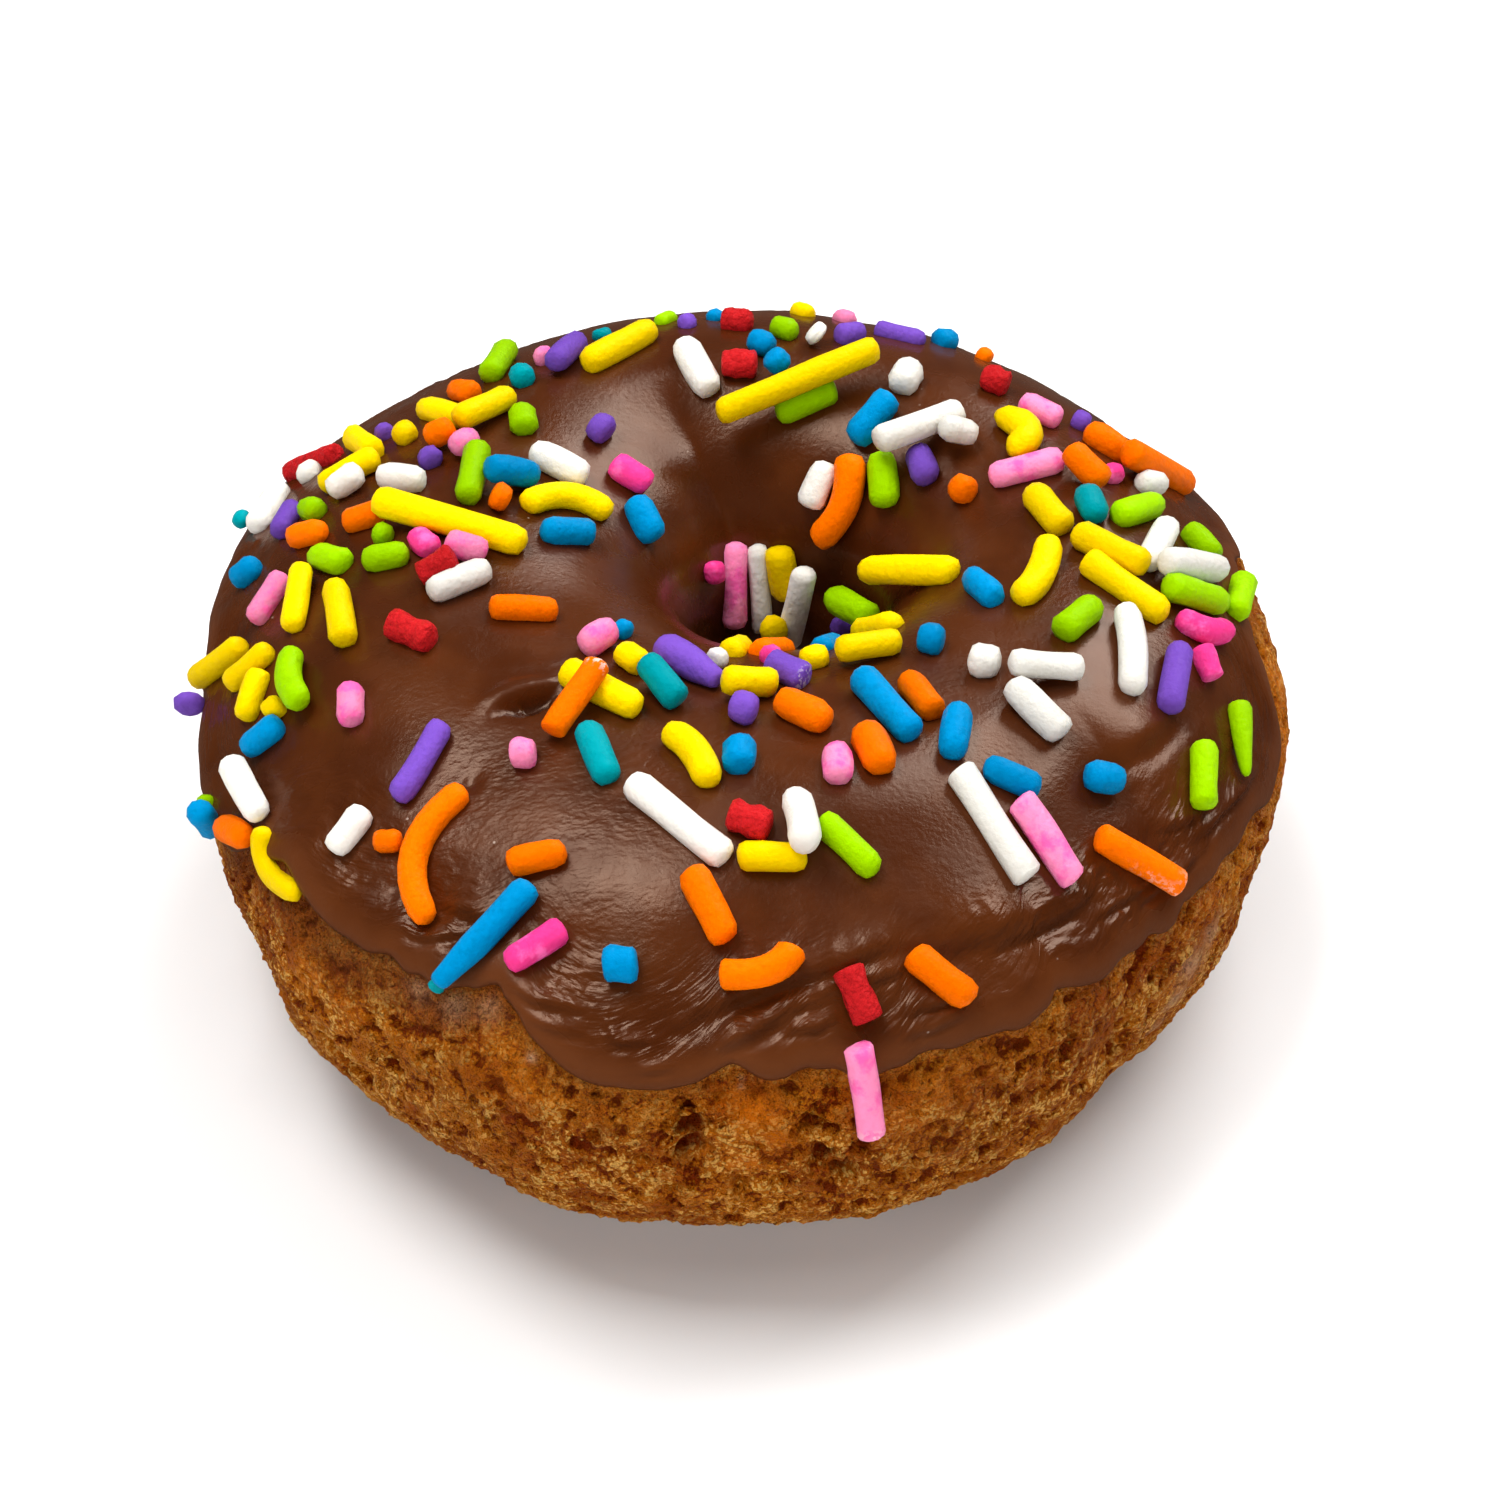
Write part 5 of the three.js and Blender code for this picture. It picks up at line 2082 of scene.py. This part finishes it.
FRONT_RODS = (
    Rod(BLUE, 614, 626, 632, 634, 24), Rod(PINK, 578, 650, 618, 624, 34),
    Rod(YELLOW, 616, 648, 648, 668, 31), Rod(PURPLE, 656, 642, 724, 683, 35, POINTED),
    Rod(TEAL, 641, 655, 683, 706, 33), Rod(YELLOW, 722, 680, 777, 682, 32),
    Rod(PURPLE, 766, 660, 810, 680, 32, CUT, chips=0.3), Rod(PURPLE, 727, 703, 760, 712, 36),
    Rod(ORANGE, 774, 696, 833, 724, 37), Rod(YELLOW, 560, 668, 643, 710, 34),
    Rod(ORANGE, 549, 735, 601, 659, 29, CUT, chips=0.6), Rod(TEAL, 584, 722, 611, 784, 32),
    Rod(YELLOW, 662, 727, 711, 787, 34, bend=Pixel(694, 750)), Rod(BLUE, 741, 735, 737, 774, 37),
    Rod(WHITE, 627, 778, 729, 860, 34), Rod(RED, 727, 812, 772, 828, 36, CRUMBLY),
    Rod(YELLOW, 737, 856, 807, 857, 33), Rod(WHITE, 793, 792, 804, 850, 37, bend=Pixel(803, 820)),
    Rod(GREEN, 819, 817, 878, 873, 32), Rod(PINK, 836, 741, 839, 785, 33),
    Rod(ORANGE, 903, 674, 939, 717, 33), Rod(BLUE, 856, 671, 917, 738, 35),
    Rod(ORANGE, 862, 722, 886, 774, 37), Rod(BLUE, 916, 636, 946, 642, 34),
    Rod(WHITE, 968, 660, 1001, 662, 37), Rod(WHITE, 1010, 662, 1083, 668, 33, BONE),
    Rod(WHITE, 1008, 680, 1066, 737, 35), Rod(BLUE, 960, 701, 951, 761, 35),
    Rod(BLUE, 984, 764, 1040, 790, 33), Rod(WHITE, 957, 767, 1030, 880, 33, CUT),
    Rod(PINK, 1019, 797, 1075, 882, 33, CUT), Rod(BLUE, 1082, 775, 1127, 780, 34),
    Rod(ORANGE, 1096, 834, 1184, 886, 32, CUT, chips=0.2), Rod(ORANGE, 689, 866, 728, 943, 36),
    Rod(ORANGE, 719, 974, 794, 948, 35, CUT, bend=Pixel(765, 971)),
    Rod(BLUE, 601, 963, 639, 965, 38, CUT), Rod(RED, 847, 967, 869, 1022, 33, CRUMBLY),
    Rod(ORANGE, 910, 952, 973, 1001, 34), Rod(PINK, 858, 1042, 873, 1140, 32, CUT, chips=0.4),
)


# ---- studio


@dataclass(frozen=True)
class SoftBox:
    """A soft light aimed at the doughnut, placed by its direction, in degrees and metres."""

    name: str
    azimuth: float
    elevation: float
    distance: float
    width: float
    height: float
    radiance: float
    mirrored: bool = True

    def build(self, aim: Vector) -> None:
        """Add the light.

        Args:
            aim: The place that it points at.
        """
        azimuth, elevation = math.radians(self.azimuth), math.radians(self.elevation)
        flat = math.cos(elevation)
        direction = Vector((math.cos(azimuth) * flat, math.sin(azimuth) * flat, math.sin(elevation)))
        data = bpy.data.lights.new(self.name, "AREA")
        data.shape = "RECTANGLE"
        data.size = self.width
        data.size_y = self.height
        data.energy = self.radiance * math.pi * self.width * self.height
        light = bpy.data.objects.new(self.name, data)
        light.location = aim + direction * self.distance
        light.rotation_euler = (-direction).to_track_quat("-Z", "Y").to_euler()
        light.visible_glossy = self.mirrored
        bpy.context.collection.objects.link(light)


@dataclass
class Studio:
    """A pale floor under windows behind and above, with a weak fill in front."""

    floor_size: float = 6.0
    ambient: float = 0.12
    ambient_colour: Triple = (1.0, 0.84, 0.72)
    aim: Triple = (0.0, 0.0, 0.015)
    lights: tuple[SoftBox, ...] = (
        SoftBox("window", 50.0, 47.0, 0.8, 0.60, 0.36, 8.4),
        SoftBox("skylight", 164.0, 70.0, 0.9, 0.44, 0.36, 11.2),
        SoftBox("ceiling", 0.0, 90.0, 1.6, 1.4, 1.4, 1.5, False),
        SoftBox("left_fill", -124.0, 26.0, 1.6, 1.3, 0.7, 3.0, False),
        SoftBox("right_fill", -62.0, 26.0, 1.6, 1.3, 0.7, 2.5, False),
    )

    def build(self, groups: EffectGroups) -> None:
        """Add the floor, the lights and the surrounding light.

        Args:
            groups: The shared effects.
        """
        bpy.ops.mesh.primitive_plane_add(size=self.floor_size)
        floor = bpy.context.active_object
        floor.name = floor.data.name = "floor"
        floor.data.materials.append(FloorFinish().build(groups))
        floor.visible_glossy = False
        for light in self.lights:
            light.build(Vector(self.aim))
        world = bpy.data.worlds.new("surroundings")
        world.use_nodes = True
        background = world.node_tree.nodes["Background"]
        background.inputs["Color"].default_value = (*self.ambient_colour, 1.0)
        background.inputs["Strength"].default_value = self.ambient
        bpy.context.scene.world = world
        bpy.context.scene.view_settings.view_transform = "Standard"


SUGAR_FINISHES = (
    SugarFinish(YELLOW, (0.93, 0.64, 0.0), mottle=0.18),
    SugarFinish(ORANGE, (0.95, 0.160, 0.0), mottle=0.35),
    SugarFinish(RED, (0.53, 0.014, 0.017), mottle=0.5, grit=0.20),
    SugarFinish(PINK, (0.93, 0.25, 0.46), mottle=0.2, blush=(0.92, 0.12, 0.40)),
    SugarFinish(HOT_PINK, (0.94, 0.048, 0.28), mottle=0.3, blush=(0.95, 0.14, 0.43)),
    SugarFinish(PURPLE, (0.170, 0.070, 0.45)),
    SugarFinish(BLUE, (0.0, 0.240, 0.53), mottle=0.4),
    SugarFinish(TEAL, (0.0, 0.285, 0.33)),
    SugarFinish(GREEN, (0.29, 0.58, 0.0)),
    SugarFinish(WHITE, (0.80, 0.775, 0.71), mottle=0.06),
)


def main() -> None:
    """Build the doughnut and its studio in order."""
    logging.basicConfig(level=logging.INFO, format="%(name)s: %(message)s")
    camera = ShotCamera()
    camera.build()
    groups = EffectGroups()
    form = RingForm()
    caster = RingCaster(form, camera)
    edge = IcingEdge(form, caster)
    dough = Dough(form, edge, caster).build(CrumbFinish().build(groups))
    icing = Icing(form, edge, caster).build(ChocolateFinish().build(groups))
    finishes = {finish.sugar: finish.build(groups) for finish in SUGAR_FINISHES}
    rods = (*BACK_LEFT_RODS, *BACK_RODS, *BACK_RIGHT_RODS, *HOLE_RODS, *FRONT_RODS)
    RodLayer(camera, icing, dough).build(rods, finishes)
    Studio().build(groups)


if __name__ == "__main__":
    main()
